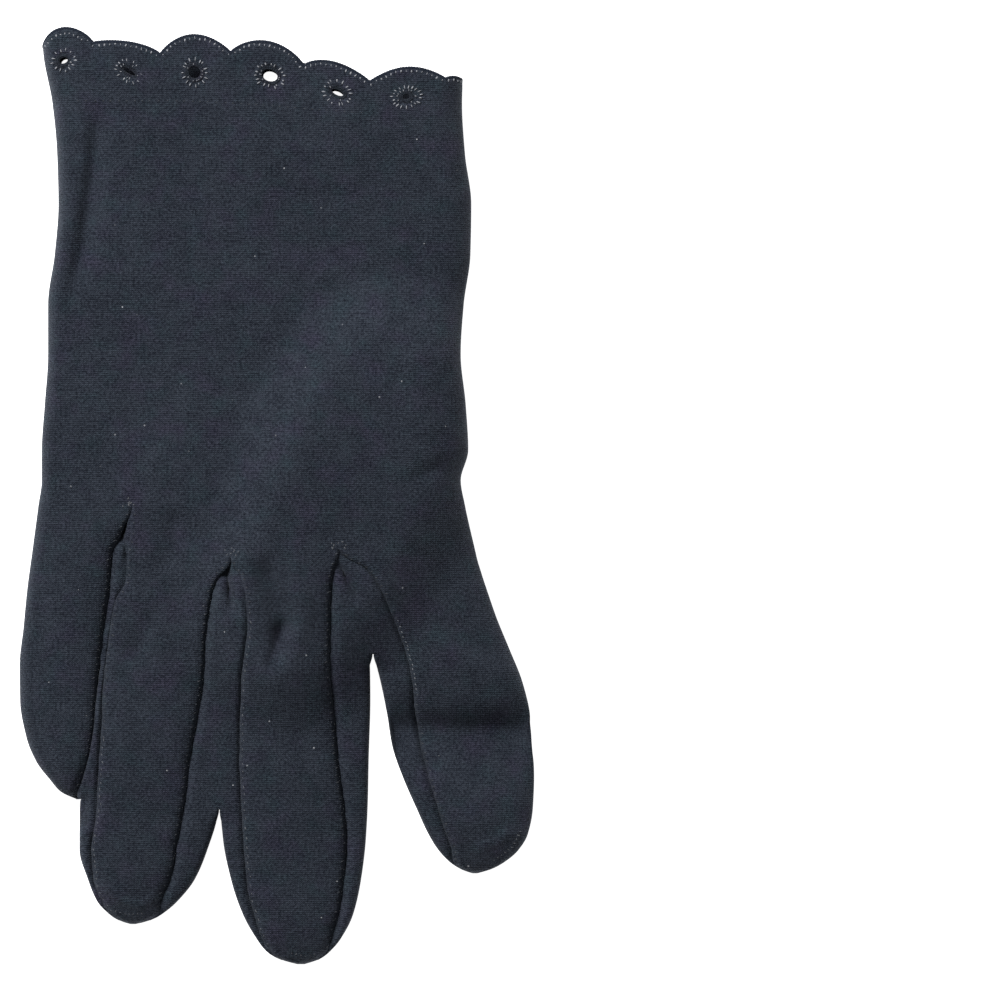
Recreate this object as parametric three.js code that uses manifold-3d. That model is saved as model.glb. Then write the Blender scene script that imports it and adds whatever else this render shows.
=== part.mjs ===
// A wrist length dress glove of black knitted cloth, for the right hand, lying flat with its back up.
// Millimetres. +Z is up from the surface, +Y runs to the cuff, +X to the index finger.
// While it is built, y = 0 is the root line of the fingers and x = 0 the middle of the hand.
import * as THREE from "three";
import { mergeVertices } from "three/addons/utils/BufferGeometryUtils.js";
import Module from "manifold-3d";

const wasm = await Module();
wasm.setup();

// Driving sizes of the hand
const HAND_WIDTH = 92;
const HAND_LENGTH = 110.2;
const LITTLE_LENGTH = 53.2;
const RING_LENGTH = 80.7;
const MIDDLE_LENGTH = 89.5;
const INDEX_LENGTH = 69.5;
const THUMB_LENGTH = 68;
const THUMB_WIDTH = 25;

// Cloth and the room inside it
const WALL = 1.0;
const CLEARANCE = 0.3;
const FINGER_HOLLOW = 4.8;
const THUMB_HOLLOW = 3.2;
const HAND_CROWN = 1.0;
const FINGER_CROWN = 0.9;
const EDGE_ROUND = 5.0;
const TIP_RISE = 0.8;
const LAP = 0.9;
const PALM_TURN = 3.0;
const SEAM_SPREAD = 4.0;
const ROOT_BLEND = 22;

// Thumb under the palm: where its base lies and how it points
const THUMB_BASE_ACROSS = 34.5;
const THUMB_BASE_UP = 41.5;
const THUMB_TURN = 26;
const THUMB_MOUTH_LENGTH = 26;
const THUMB_MOUTH_WIDTH = 16;
const THUMB_DRAPE = 17;

// Cuff
const SCALLOP_DEPTH = 3.9;
const FACING_DEPTH = 13;
const EYELET_BORE = 2.6;
const EYELET_RIM = 1.0;
const EYELET_PROUD = 0.35;

const STEP = WALL + CLEARANCE;
const PALM_LEVEL = WALL / 2;
const THUMB_LIFT = THUMB_HOLLOW + 2 * WALL + CLEARANCE;

// The hand from the root line of the fingers (0) to the cuff (1), shares of HAND_LENGTH.
// left and right are shares of HAND_WIDTH, hollow is a share of FINGER_HOLLOW.
const HAND = {
  columns: ["along", "left", "right", "hollow"],
  rows: [
    [0.0, -0.534, 0.527, 1.1],
    [0.1, -0.518, 0.5, 1.15],
    [0.15, -0.51, 0.49, 1.18],
    [0.21, -0.51, 0.508, 1.2],
    [0.3, -0.503, 0.502, 1.22],
    [0.4, -0.495, 0.49, 1.25],
    [0.5, -0.495, 0.497, 1.3],
    [0.6, -0.479, 0.513, 1.35],
    [0.7, -0.47, 0.515, 1.4],
    [0.8, -0.473, 0.5, 1.48],
    [0.9, -0.484, 0.493, 1.55],
    [1.0, -0.506, 0.497, 1.58],
    [1.08, -0.512, 0.497, 1.58],
  ],
};

// Each finger from the root line (0) to its tip (1). All but the first column are shares of HAND_WIDTH:
// the outline to the left and right, and the two seams that join the back to the strips between fingers.
const LITTLE = {
  columns: ["along", "left", "seamLeft", "seamRight", "right"],
  rows: [
    [-0.207, -0.518, -0.518, -0.294, -0.294],
    [-0.1, -0.526, -0.526, -0.318, -0.31],
    [0.0, -0.534, -0.534, -0.346, -0.32],
    [0.14, -0.545, -0.545, -0.352, -0.33],
    [0.3, -0.554, -0.554, -0.366, -0.35],
    [0.45, -0.563, -0.563, -0.375, -0.36],
    [0.6, -0.562, -0.562, -0.384, -0.375],
    [0.75, -0.547, -0.547, -0.392, -0.385],
    [0.85, -0.523, -0.523, -0.402, -0.395],
    [0.92, -0.492, -0.492, -0.414, -0.405],
    [0.97, -0.467, -0.467, -0.424, -0.416],
    [1.0, -0.45, -0.45, -0.428, -0.42],
  ],
};
const RING = {
  columns: ["along", "left", "seamLeft", "seamRight", "right"],
  rows: [
    [-0.136, -0.294, -0.294, -0.055, -0.055],
    [-0.05, -0.31, -0.299, -0.055, -0.055],
    [0.0, -0.328, -0.303, -0.055, -0.055],
    [0.07, -0.336, -0.307, -0.093, -0.058],
    [0.12, -0.344, -0.33, -0.107, -0.06],
    [0.22, -0.356, -0.346, -0.12, -0.064],
    [0.35, -0.371, -0.361, -0.128, -0.07],
    [0.5, -0.385, -0.366, -0.152, -0.079],
    [0.6, -0.407, -0.372, -0.165, -0.084],
    [0.7, -0.42, -0.376, -0.177, -0.09],
    [0.8, -0.42, -0.388, -0.193, -0.115],
    [0.88, -0.4, -0.383, -0.205, -0.145],
    [0.94, -0.378, -0.364, -0.228, -0.187],
    [0.97, -0.354, -0.346, -0.23, -0.218],
    [1.0, -0.32, -0.315, -0.263, -0.258],
  ],
};
const MIDDLE = {
  columns: ["along", "left", "seamLeft", "seamRight", "right"],
  rows: [
    [-0.02, -0.055, -0.055, 0.201, 0.201],
    [0.0, -0.055, -0.055, 0.196, 0.203],
    [0.05, -0.056, -0.032, 0.183, 0.213],
    [0.1, -0.06, -0.02, 0.178, 0.232],
    [0.18, -0.063, -0.015, 0.176, 0.26],
    [0.26, -0.068, -0.025, 0.175, 0.273],
    [0.35, -0.073, -0.031, 0.181, 0.274],
    [0.5, -0.08, -0.034, 0.195, 0.27],
    [0.6, -0.084, -0.032, 0.207, 0.268],
    [0.7, -0.077, -0.026, 0.214, 0.263],
    [0.8, -0.057, -0.018, 0.207, 0.251],
    [0.88, -0.03, 0.0, 0.194, 0.233],
    [0.94, 0.003, 0.019, 0.179, 0.203],
    [0.97, 0.026, 0.034, 0.17, 0.178],
    [1.0, 0.07, 0.077, 0.134, 0.139],
  ],
};
const INDEX = {
  columns: ["along", "left", "seamLeft", "seamRight", "right"],
  rows: [
    [-0.025, 0.201, 0.201, 0.524, 0.524],
    [0.0, 0.205, 0.232, 0.527, 0.527],
    [0.06, 0.214, 0.28, 0.54, 0.54],
    [0.12, 0.23, 0.307, 0.555, 0.555],
    [0.2, 0.254, 0.331, 0.576, 0.576],
    [0.3, 0.279, 0.36, 0.607, 0.607],
    [0.4, 0.299, 0.378, 0.637, 0.637],
    [0.5, 0.314, 0.384, 0.655, 0.655],
    [0.6, 0.326, 0.396, 0.662, 0.662],
    [0.7, 0.352, 0.416, 0.665, 0.665],
    [0.8, 0.385, 0.439, 0.662, 0.662],
    [0.88, 0.413, 0.458, 0.65, 0.65],
    [0.93, 0.437, 0.471, 0.627, 0.627],
    [0.97, 0.467, 0.481, 0.59, 0.59],
    [1.0, 0.5, 0.505, 0.55, 0.55],
  ],
};

// The line along which two fingers lie side by side. along is a share of MIDDLE_LENGTH down from the
// root line, across a share of HAND_WIDTH. up places the top of the slit, a share of HAND_LENGTH.
const CROTCHES = [
  {
    name: "little_ring",
    up: 0.0998,
    columns: ["along", "across"],
    rows: [
      [-0.123, -0.294],
      [-0.066, -0.306],
      [-0.01, -0.322],
      [0.086, -0.337],
      [0.182, -0.355],
      [0.26, -0.365],
      [0.351, -0.377],
      [0.43, -0.384],
      [0.489, -0.394],
      [0.536, -0.406],
      [0.58, -0.416],
      [0.68, -0.423],
    ],
  },
  {
    name: "ring_middle",
    up: 0.0,
    columns: ["along", "across"],
    rows: [
      [0.0, -0.055],
      [0.622, -0.086],
      [0.774, -0.1],
      [1.0, -0.122],
    ],
  },
  {
    name: "middle_index",
    up: 0.016,
    columns: ["along", "across"],
    rows: [
      [-0.02, 0.201],
      [0.086, 0.227],
      [0.16, 0.254],
      [0.233, 0.28],
      [0.356, 0.292],
      [0.553, 0.311],
      [0.676, 0.337],
      [0.774, 0.373],
      [1.0, 0.416],
    ],
  },
];

// Half outline of the thumb from its base end (0) to its tip (1): shares of THUMB_WIDTH and THUMB_HOLLOW.
const THUMB = {
  columns: ["along", "width", "height"],
  rows: [
    [0.0, 0.26, 0.3],
    [0.03, 0.55, 0.65],
    [0.09, 0.82, 0.95],
    [0.18, 0.97, 1.0],
    [0.32, 1.0, 1.0],
    [0.5, 0.92, 1.0],
    [0.68, 0.82, 1.0],
    [0.82, 0.76, 1.0],
    [0.91, 0.62, 0.92],
    [0.97, 0.42, 0.66],
    [1.0, 0.2, 0.3],
  ],
};

// Each scallop of the cuff, from the little finger's side. across and up place the notch that it ends at,
// shares of HAND_WIDTH and HAND_LENGTH; crest is its height over the line between notches, of SCALLOP_DEPTH.
// A smaller fullness makes a fuller scallop, and lean moves its crest to the left (below 0) or right.
const SCALLOP_START = { across: -0.504, up: 1.01 };
const SCALLOPS = [
  { across: -0.388, up: 1.02, crest: 1.04, fullness: 0.63, lean: -0.24 },
  { across: -0.225, up: 0.995, crest: 0.45, fullness: 0.5, lean: 0.26 },
  { across: -0.057, up: 0.9994, crest: 1.12, fullness: 0.78, lean: -0.1 },
  { across: 0.115, up: 0.973, crest: 1.06, fullness: 0.64, lean: 0.04 },
  { across: 0.273, up: 0.943, crest: 0.66, fullness: 0.77, lean: -0.16 },
  { across: 0.454, up: 0.95, crest: 0.73, fullness: 0.86, lean: 0.01 },
  { across: 0.505, up: 0.938, crest: 0.29, fullness: 0.6, lean: 0.18 },
];

// Each eyelet: its place, its bore's two diameters as shares of EYELET_BORE, and how it is turned.
const EYELETS = [
  { across: -0.455, up: 0.984, wide: 0.8, tall: 0.55, turn: 25 },
  { across: -0.299, up: 0.962, wide: 1.3, tall: 0.4, turn: -32 },
  { across: -0.143, up: 0.96, wide: 1.05, tall: 1.05, turn: 0 },
  { across: 0.036, up: 0.954, wide: 1.4, tall: 1.05, turn: -18 },
  { across: 0.197, up: 0.92, wide: 1.1, tall: 0.5, turn: -25 },
  { across: 0.361, up: 0.912, wide: 0.6, tall: 0.5, turn: 8 },
];

const FINGERS = [
  { name: "little", length: LITTLE_LENGTH, table: LITTLE, before: null, after: CROTCHES[0] },
  { name: "ring", length: RING_LENGTH, table: RING, before: CROTCHES[0], after: CROTCHES[1] },
  { name: "middle", length: MIDDLE_LENGTH, table: MIDDLE, before: CROTCHES[1], after: CROTCHES[2] },
  { name: "index", length: INDEX_LENGTH, table: INDEX, before: CROTCHES[2], after: null },
];

// Grid stations: shares of HAND_LENGTH above the root line, of the finger below it, and across a strip.
const HAND_ROWS = [1.08, 0.97, 0.87, 0.75, 0.63, 0.52, 0.41, 0.31, 0.23, 0.16];
const FINGER_ROWS = [0.06, 0.13, 0.21, 0.31, 0.43, 0.55, 0.67, 0.77, 0.84, 0.91, 0.97, 1.0];
const ACROSS = [0, 0.25, 0.5, 0.75, 1];
const TURNS = [30, 60];
const RIM_SIDES = 9;
const TIP_START = 0.84;
const FOURCHETTE_END = 0.95;

const clamp = (value, low, high) => Math.min(Math.max(value, low), high);
const mix = (a, b, share) => a + (b - a) * share;
const radians = (degrees) => (degrees * Math.PI) / 180;

function ease(share) {
  const s = clamp(share, 0, 1);
  return s * s * (3 - 2 * s);
}

// A named column of a table at a station, on a smooth curve through the rows that never overshoots them.
function read(table, name, at) {
  const rows = table.rows;
  const c = table.columns.indexOf(name);
  const last = rows.length - 1;
  if (at <= rows[0][0]) return rows[0][c];
  if (at >= rows[last][0]) return rows[last][c];
  let i = 0;
  while (rows[i + 1][0] < at) i += 1;
  const chord = (k) => (rows[k + 1][c] - rows[k][c]) / (rows[k + 1][0] - rows[k][0]);
  const slope = (k) => {
    if (k === 0) return chord(0);
    if (k === last) return chord(last - 1);
    const before = chord(k - 1);
    const after = chord(k);
    return before * after <= 0 ? 0 : (2 * before * after) / (before + after);
  };
  const span = rows[i + 1][0] - rows[i][0];
  const t = (at - rows[i][0]) / span;
  const a = rows[i][c];
  const b = rows[i + 1][c];
  const bend = slope(i) * span * t * (1 - t) * (1 - t) - slope(i + 1) * span * t * t * (1 - t);
  return mix(a, b, t * t * (3 - 2 * t)) + bend;
}

// Plan of the glove

function handEdge(side, y) {
  const inward = side === "left" ? WALL / 2 : -WALL / 2;
  return read(HAND, side, y / HAND_LENGTH) * HAND_WIDTH + inward;
}

const crotchUp = (crotch) => crotch.up * HAND_LENGTH;
const dividerX = (crotch, y) => read(crotch, "across", -y / MIDDLE_LENGTH) * HAND_WIDTH;

// The share of the hand's width at which a slit between two fingers starts.
function crotchShare(crotch) {
  const y = crotchUp(crotch);
  const left = handEdge("left", y);
  return (dividerX(crotch, y) - left) / (handEdge("right", y) - left);
}

// The middle of the wall at a finger's outline, kept on its own side of the line between two fingers.
function outlineX(finger, side, y) {
  const outer = side === "left" ? finger.before === null : finger.after === null;
  if (y >= 0 && outer) return handEdge(side, y);
  const own = read(finger.table, side, -y / finger.length) * HAND_WIDTH;
  const crotch = side === "left" ? finger.before : finger.after;
  if (side === "left") {
    if (crotch === null) return own + WALL / 2;
    return Math.max(own + WALL / 2, dividerX(crotch, y) + STEP / 2);
  }
  if (crotch === null) return own - WALL / 2;
  return Math.min(own - WALL / 2, dividerX(crotch, y) - STEP / 2);
}

// The edge of a finger's back or palm strip. Above the slit the strips run on as one cloth.
function stripEdge(finger, side, face, y) {
  const crotch = side === "left" ? finger.before : finger.after;
  const sign = side === "left" ? 1 : -1;
  if (crotch === null) return outlineX(finger, side, y) + sign * edgeRound(finger, y);
  const top = crotchUp(crotch);
  if (y >= top) {
    const left = handEdge("left", y);
    return mix(left, handEdge("right", y), crotchShare(crotch));
  }
  const apex = dividerX(crotch, top);
  const outline = outlineX(finger, side, y);
  const column = side === "left" ? "seamLeft" : "seamRight";
  const seam = read(finger.table, column, -y / finger.length) * HAND_WIDTH;
  const inside = outline + sign * PALM_TURN * tipNarrow(finger, y);
  const wanted = face > 0 ? seam : inside;
  const held = side === "left" ? Math.max(wanted, outline) : Math.min(wanted, outline);
  return mix(apex, held, clamp((top - y) / SEAM_SPREAD, 0, 1));
}

function tipShare(finger, y) {
  return clamp((-y / finger.length - TIP_START) / (1 - TIP_START), 0, 1);
}

const tipNarrow = (finger, y) => mix(1, 0.2, ease(tipShare(finger, y)));

function edgeRound(finger, y) {
  if (y >= 0) return EDGE_ROUND;
  return mix(EDGE_ROUND, 0.15 * EDGE_ROUND, ease(tipShare(finger, y)));
}

// Heights

// How far the cloth is lifted where it drapes over the thumb.
function lift(x, y) {
  const turn = radians(THUMB_TURN);
  const dx = x - THUMB_BASE_ACROSS;
  const dy = y - THUMB_BASE_UP;
  const along = -dx * Math.sin(turn) - dy * Math.cos(turn);
  const aside = dx * Math.cos(turn) - dy * Math.sin(turn);
  const share = clamp(along / THUMB_LENGTH, 0.12, 0.92);
  const nearest = share * THUMB_LENGTH;
  const away = Math.hypot(along - nearest, aside);
  const half = (read(THUMB, "width", share) * THUMB_WIDTH) / 2 + WALL + CLEARANCE;
  return THUMB_LIFT * ease(1 - (away - half) / THUMB_DRAPE);
}

function palmHeight(finger, y) {
  const fall = y < 0 ? ease(tipShare(finger, y)) : 0;
  return PALM_LEVEL + TIP_RISE * fall;
}

function backHeight(finger, share, x, y) {
  const left = handEdge("left", y);
  const s = clamp((x - left) / (handEdge("right", y) - left), 0, 1);
  const room = read(HAND, "hollow", y / HAND_LENGTH) * FINGER_HOLLOW;
  const hand = PALM_LEVEL + room + WALL + HAND_CROWN * 4 * s * (1 - s);
  const open = (crotch) => ease((crotchUp(crotch) - y) / ROOT_BLEND);
  const before = open(finger.before ?? finger.after);
  const after = open(finger.after ?? finger.before);
  const own = PALM_LEVEL + FINGER_HOLLOW + WALL + FINGER_CROWN * 4 * share * (1 - share);
  const height = mix(hand, own, mix(before, after, share));
  const c = y < 0 ? tipShare(finger, y) : 0;
  return mix(height, palmHeight(finger, y) + STEP, 1 - Math.sqrt(1 - c * c));
}

// A point on the middle of the wall. face is 1 on the back and -1 on the palm, turn is the angle round the
// outer edge or null, inset moves the point in from the outer cloth. joined closes the fold beside the
// index finger, which is open by the clearance otherwise.
function clothPoint(finger, spot, y, inset = 0, joined = false) {
  const left = stripEdge(finger, "left", spot.face, y);
  const right = stripEdge(finger, "right", spot.face, y);
  const x = mix(left, right, spot.share);
  const flat =
    spot.face > 0
      ? backHeight(finger, spot.share, x, y) - inset
      : palmHeight(finger, y) + inset;
  if (spot.turn === null) return [x, y, flat + lift(x, y)];
  const side = finger.before === null ? "left" : "right";
  const sign = side === "left" ? 1 : -1;
  const outline = outlineX(finger, side, y);
  const middle = (backHeight(finger, spot.share, x, y) + palmHeight(finger, y)) / 2;
  const angle = radians(spot.turn);
  const reach = edgeRound(finger, y) - Math.min(inset, edgeRound(finger, y) / 2);
  const round = outline + sign * (edgeRound(finger, y) - reach * Math.cos(angle));
  const open = spot.turn === 0 && !(joined && side === "right");
  const z = middle + (flat - middle) * Math.sin(angle) + (open ? spot.face * CLEARANCE * 0.5 : 0);
  return [round, y, z + lift(round, y)];
}

// Cloth

// A sheet of cloth by the middle of its wall: points that lie together are one, faces are quads.
class Sheet {
  constructor() {
    this.points = [];
    this.index = new Map();
    this.faces = [];
    this.upright = new Set();
  }

  add(point) {
    const key = point.map((v) => Math.round(v * 2000)).join(" ");
    if (!this.index.has(key)) {
      this.index.set(key, this.points.length);
      this.points.push(new THREE.Vector3(...point));
    }
    return this.index.get(key);
  }

  // Quads between neighbouring rows of points. The cloth stands upright along the named columns.
  grid(rows, uprightColumns = []) {
    const ids = rows.map((row) => row.map((p) => this.add(p)));
    for (let r = 0; r + 1 < ids.length; r += 1) {
      for (let c = 0; c + 1 < ids[r].length; c += 1) {
        this.faces.push([ids[r][c], ids[r + 1][c], ids[r + 1][c + 1], ids[r][c + 1]]);
      }
    }
    for (const row of ids) uprightColumns.forEach((c) => this.upright.add(row[c]));
  }

  triangles() {
    const out = [];
    for (const [a, b, c, d] of this.faces) {
      if (a !== b && b !== c && a !== c) out.push([a, b, c]);
      if (a !== c && c !== d && a !== d) out.push([a, c, d]);
    }
    return out;
  }

  normals(triangles) {
    const sums = this.points.map(() => new THREE.Vector3());
    for (const [a, b, c] of triangles) {
      const u = this.points[b].clone().sub(this.points[a]);
      const v = this.points[c].clone().sub(this.points[a]);
      const n = u.cross(v);
      for (const i of [a, b, c]) sums[i].add(n);
    }
    return sums.map((n, i) => (this.upright.has(i) ? n.setZ(0) : n).normalize());
  }

  // The closed wall on both sides of the sheet.
  thicken(wall) {
    const triangles = this.triangles();
    const normals = this.normals(triangles);
    const count = this.points.length;
    const positions = [];
    for (const half of [wall / 2, -wall / 2]) {
      const moved = this.points.map((p, i) => p.clone().addScaledVector(normals[i], half));
      for (const p of moved) positions.push(...p);
    }
    const faces = [];
    const edges = new Map();
    for (const [a, b, c] of triangles) {
      faces.push([a, b, c], [a + count, c + count, b + count]);
      for (const [i, j] of [[a, b], [b, c], [c, a]]) edges.set(i + " " + j, [i, j]);
    }
    for (const [i, j] of edges.values()) {
      if (edges.has(j + " " + i)) continue;
      faces.push([i, i + count, j + count], [i, j + count, j]);
    }
    return solidFrom(positions, faces.flat());
  }
}

function solidFrom(positions, indices) {
  return new wasm.Manifold(
    new wasm.Mesh({
      numProp: 3,
      vertProperties: new Float32Array(positions),
      triVerts: new Uint32Array(indices),
    }),
  );
}

function solidOf(geometry) {
  const bare = geometry.clone();
  bare.deleteAttribute("normal");
  bare.deleteAttribute("uv");
  const merged = mergeVertices(bare, 1e-4);
  return solidFrom(merged.attributes.position.array, merged.index.array);
}

function geometryOf(solid) {
  const mesh = solid.getMesh();
  const geometry = new THREE.BufferGeometry();
  geometry.setAttribute("position", new THREE.BufferAttribute(new Float32Array(mesh.vertProperties), 3));
  geometry.setIndex(new THREE.BufferAttribute(new Uint32Array(mesh.triVerts), 1));
  geometry.computeVertexNormals();
  return geometry;
}

// Heights of the grid rows of a finger's strip, from the cuff to its tip.
function rowHeights(finger) {
  const shared = HAND_ROWS.map((share) => share * HAND_LENGTH);
  const slits = CROTCHES.map(crotchUp);
  const between = [0.5 * (slits[0] + slits[2])];
  const upper = [...shared, slits[0], ...between, slits[2], slits[1]];
  return [...upper, ...FINGER_ROWS.map((share) => -share * finger.length)];
}

// The spots across a finger's part of one face, from left to right seen from above, and round the glove's
// own edge.
function spotsOf(finger, face) {
  const flat = ACROSS.map((share) => ({ face, share, turn: null }));
  const round = (share) => [0, ...TURNS].map((turn) => ({ face, share, turn }));
  if (finger.before === null) return [...round(0), ...flat];
  if (finger.after === null) return [...flat, ...round(1).reverse()];
  return flat;
}

// One face of the cuff and hand laid as quads between rows, so that it faces out.
function addFace(sheet, face, finger, heights, inset, joined) {
  const spots = spotsOf(finger, face);
  if (face < 0) spots.reverse();
  const edges = [...spots.keys()].filter((c) => spots[c].turn === 0);
  sheet.grid(heights.map((y) => spots.map((spot) => clothPoint(finger, spot, y, inset, joined))), edges);
}

// Half of the trank, the cloth of back and palm that is folded along the index finger's side. Back and palm
// are solids of their own, which meet along the fold and along the side seam.
function trank(face, cutters) {
  const sheet = new Sheet();
  for (const finger of FINGERS) addFace(sheet, face, finger, rowHeights(finger), 0, false);
  return cutters.reduce((solid, cutter) => solid.subtract(cutter), sheet.thicken(WALL));
}

// The facing: a second cloth inside the cuff, as deep as the stitched line under the eyelets.
function cuffFacing(cutters) {
  const sheet = new Sheet();
  const bottom = HAND_LENGTH - FACING_DEPTH;
  const heights = HAND_ROWS.map((share) => share * HAND_LENGTH).filter((y) => y > bottom + WALL);
  heights.push(bottom);
  for (const finger of FINGERS) {
    for (const face of [1, -1]) addFace(sheet, face, finger, heights, STEP, true);
  }
  return cutters.reduce((solid, cutter) => solid.subtract(cutter), sheet.thicken(WALL));
}

// Where a fourchette is sewn under the edge of a strip: the lapped point, and the point at the seam.
function lapPoints(finger, side, face, y) {
  const shares = side === "left" ? [0, ACROSS[1]] : [1, 1 - ACROSS[1]];
  const [edge, next] = shares.map((share) => {
    const [x, , z] = clothPoint(finger, { face, share, turn: null }, y);
    return new THREE.Vector2(x, z);
  });
  const inward = next.sub(edge).normalize();
  const under = new THREE.Vector2(inward.y, -inward.x);
  if (under.y * face > 0) under.negate();
  const outline = outlineX(finger, side, y);
  const past = side === "left" ? Math.max(outline - edge.x, 0) : Math.max(edge.x - outline, 0);
  const seam = edge.addScaledVector(inward, past / Math.abs(inward.x)).addScaledVector(under, STEP);
  return [seam.clone().addScaledVector(inward, LAP), seam];
}

// One leg of a fourchette at a height: from under the back strip's edge, round the finger's side, to the
// palm strip's edge.
function legPoints(finger, side, y) {
  const [topLap, top] = lapPoints(finger, side, 1, y);
  const [bottomLap, bottom] = lapPoints(finger, side, -1, y);
  const x = outlineX(finger, side, y);
  const outline = new THREE.Vector2(x, (top.y + bottom.y) / 2);
  const profile = [topLap, top, quarter(top, outline), outline, quarter(bottom, outline), bottom, bottomLap];
  return profile.map((point) => [point.x, y, point.y]);
}

// The middle of the quarter ellipse that leaves a seam level and reaches the outline upright.
function quarter(seam, outline) {
  const half = Math.SQRT1_2;
  return new THREE.Vector2(mix(seam.x, outline.x, half), mix(outline.y, seam.y, half));
}

// A fourchette: one forked strip that makes the facing sides of two fingers, folded in the crotch.
function fourchette(crotch) {
  const leftFinger = FINGERS.find((finger) => finger.after === crotch);
  const rightFinger = FINGERS.find((finger) => finger.before === crotch);
  const top = crotchUp(crotch);
  const legHeights = (finger) => {
    const above = rowHeights(finger).filter((y) => y <= top && y >= 0);
    const shares = [...FINGER_ROWS.filter((share) => share < FOURCHETTE_END), FOURCHETTE_END];
    return [...above, ...shares.map((share) => -share * finger.length)];
  };
  const left = legHeights(leftFinger).map((y) => legPoints(leftFinger, "right", y)).reverse();
  const right = legHeights(rightFinger).map((y) => legPoints(rightFinger, "left", y));
  const web = webPoints(left[left.length - 1], right[0]);
  const sheet = new Sheet();
  sheet.grid([...left, web, ...right]);
  return sheet.thicken(WALL);
}

// The turn of the strip in the crotch, half way between its two legs and a little nearer to the cuff.
function webPoints(leftLeg, rightLeg) {
  return leftLeg.map(([x, y, z], i) => {
    const [otherX, , otherZ] = rightLeg[i];
    return [(x + otherX) / 2, y + (otherX - x) / 2, (z + otherZ) / 2];
  });
}

// The thumb: a flattened tube folded under the palm, open through the palm at its base.
function thumb(cutter) {
  const outer = thumbBody(0);
  const inner = thumbBody(WALL);
  return outer.subtract(inner).subtract(cutter);
}

const THUMB_SIDES = [0, 35, 62, 90, 118, 145, 180, 215, 242, 270, 298, 325];

function thumbBody(inset) {
  const turn = radians(THUMB_TURN);
  const height = (THUMB_HOLLOW + 2 * WALL) / 2;
  const rings = THUMB.rows.map(([share, width, tall]) => {
    const half = (width * THUMB_WIDTH) / 2 - inset;
    const rise = height * tall - inset;
    const nearest = clamp(share * THUMB_LENGTH, inset, THUMB_LENGTH - inset);
    return THUMB_SIDES.map((degrees) => {
      const a = radians(degrees);
      const aside = half * Math.sign(Math.cos(a)) * Math.abs(Math.cos(a)) ** 0.7;
      const z = height + rise * clamp(1.2 * Math.sin(a), -1, 1);
      return placeOnThumb(nearest, aside, z, turn);
    });
  });
  return loft(rings);
}

function placeOnThumb(along, aside, z, turn) {
  const x = THUMB_BASE_ACROSS - along * Math.sin(turn) + aside * Math.cos(turn);
  const y = THUMB_BASE_UP - along * Math.cos(turn) - aside * Math.sin(turn);
  return [x, y, z];
}

// A closed body through rings of points, with a fan at each end.
function loft(rings) {
  const sides = rings[0].length;
  const positions = rings.flat(2);
  const faces = [];
  for (let r = 0; r + 1 < rings.length; r += 1) {
    for (let c = 0; c < sides; c += 1) {
      const next = (c + 1) % sides;
      const a = r * sides + c;
      const b = r * sides + next;
      faces.push([a, b + sides, a + sides], [a, b, b + sides]);
    }
  }
  const last = (rings.length - 1) * sides;
  for (let c = 1; c + 1 < sides; c += 1) {
    faces.push([0, c + 1, c], [last, last + c, last + c + 1]);
  }
  return solidFrom(positions, faces.flat());
}

// Cutters

// Everything beyond the scalloped edge of the cuff.
function beyondScallops() {
  const far = 2 * HAND_LENGTH;
  const outline = new THREE.Shape();
  const start = { x: SCALLOP_START.across * HAND_WIDTH, y: SCALLOP_START.up * HAND_LENGTH };
  outline.moveTo(-HAND_WIDTH, start.y);
  outline.lineTo(start.x, start.y);
  let from = start;
  for (const row of SCALLOPS) {
    const to = { x: row.across * HAND_WIDTH, y: row.up * HAND_LENGTH };
    for (const t of [0.1, 0.25, 0.5, 0.75, 0.9, 1]) {
      const wave = Math.max(Math.sin(Math.PI * t ** Math.exp(row.lean)), 0);
      const rise = row.crest * SCALLOP_DEPTH * wave ** row.fullness;
      outline.lineTo(mix(from.x, to.x, t), mix(from.y, to.y, t) + rise);
    }
    from = to;
  }
  outline.lineTo(HAND_WIDTH, from.y);
  outline.lineTo(HAND_WIDTH, far);
  outline.lineTo(-HAND_WIDTH, far);
  outline.closePath();
  const depth = HAND_WIDTH;
  const geometry = new THREE.ExtrudeGeometry(outline, { depth, bevelEnabled: false });
  geometry.translate(0, 0, -depth / 2);
  return solidOf(geometry);
}

function eyeletSize(row) {
  return { wide: (row.wide * EYELET_BORE) / 2, tall: (row.tall * EYELET_BORE) / 2 };
}

// A hole through both layers of the cuff for one eyelet's rim.
function eyeletHole(row) {
  const { wide, tall } = eyeletSize(row);
  const depth = HAND_WIDTH;
  const grown = EYELET_RIM + CLEARANCE;
  const shape = new THREE.Shape();
  shape.absellipse(0, 0, wide + grown, tall + grown, 0, 2 * Math.PI, false, 0);
  const geometry = new THREE.ExtrudeGeometry(shape, { depth, bevelEnabled: false, curveSegments: 5 });
  geometry.rotateZ(radians(row.turn));
  geometry.translate(row.across * HAND_WIDTH, row.up * HAND_LENGTH, -depth / 2);
  return solidOf(geometry);
}

// The mouth of the thumb, through the palm and the upper side of the thumb.
function thumbMouth() {
  const shape = new THREE.Shape();
  shape.absellipse(0, 0, THUMB_MOUTH_WIDTH / 2, THUMB_MOUTH_LENGTH / 2, 0, 2 * Math.PI, false, 0);
  const bottom = WALL + THUMB_HOLLOW * 0.6;
  const depth = THUMB_LIFT + WALL + CLEARANCE - bottom;
  const geometry = new THREE.ExtrudeGeometry(shape, { depth, bevelEnabled: false, curveSegments: 9 });
  geometry.rotateZ(-radians(THUMB_TURN));
  const along = THUMB_MOUTH_LENGTH / 2 + 0.06 * THUMB_LENGTH;
  geometry.translate(...placeOnThumb(along, 0, bottom, radians(THUMB_TURN)));
  return solidOf(geometry);
}

// Eyelets

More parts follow.
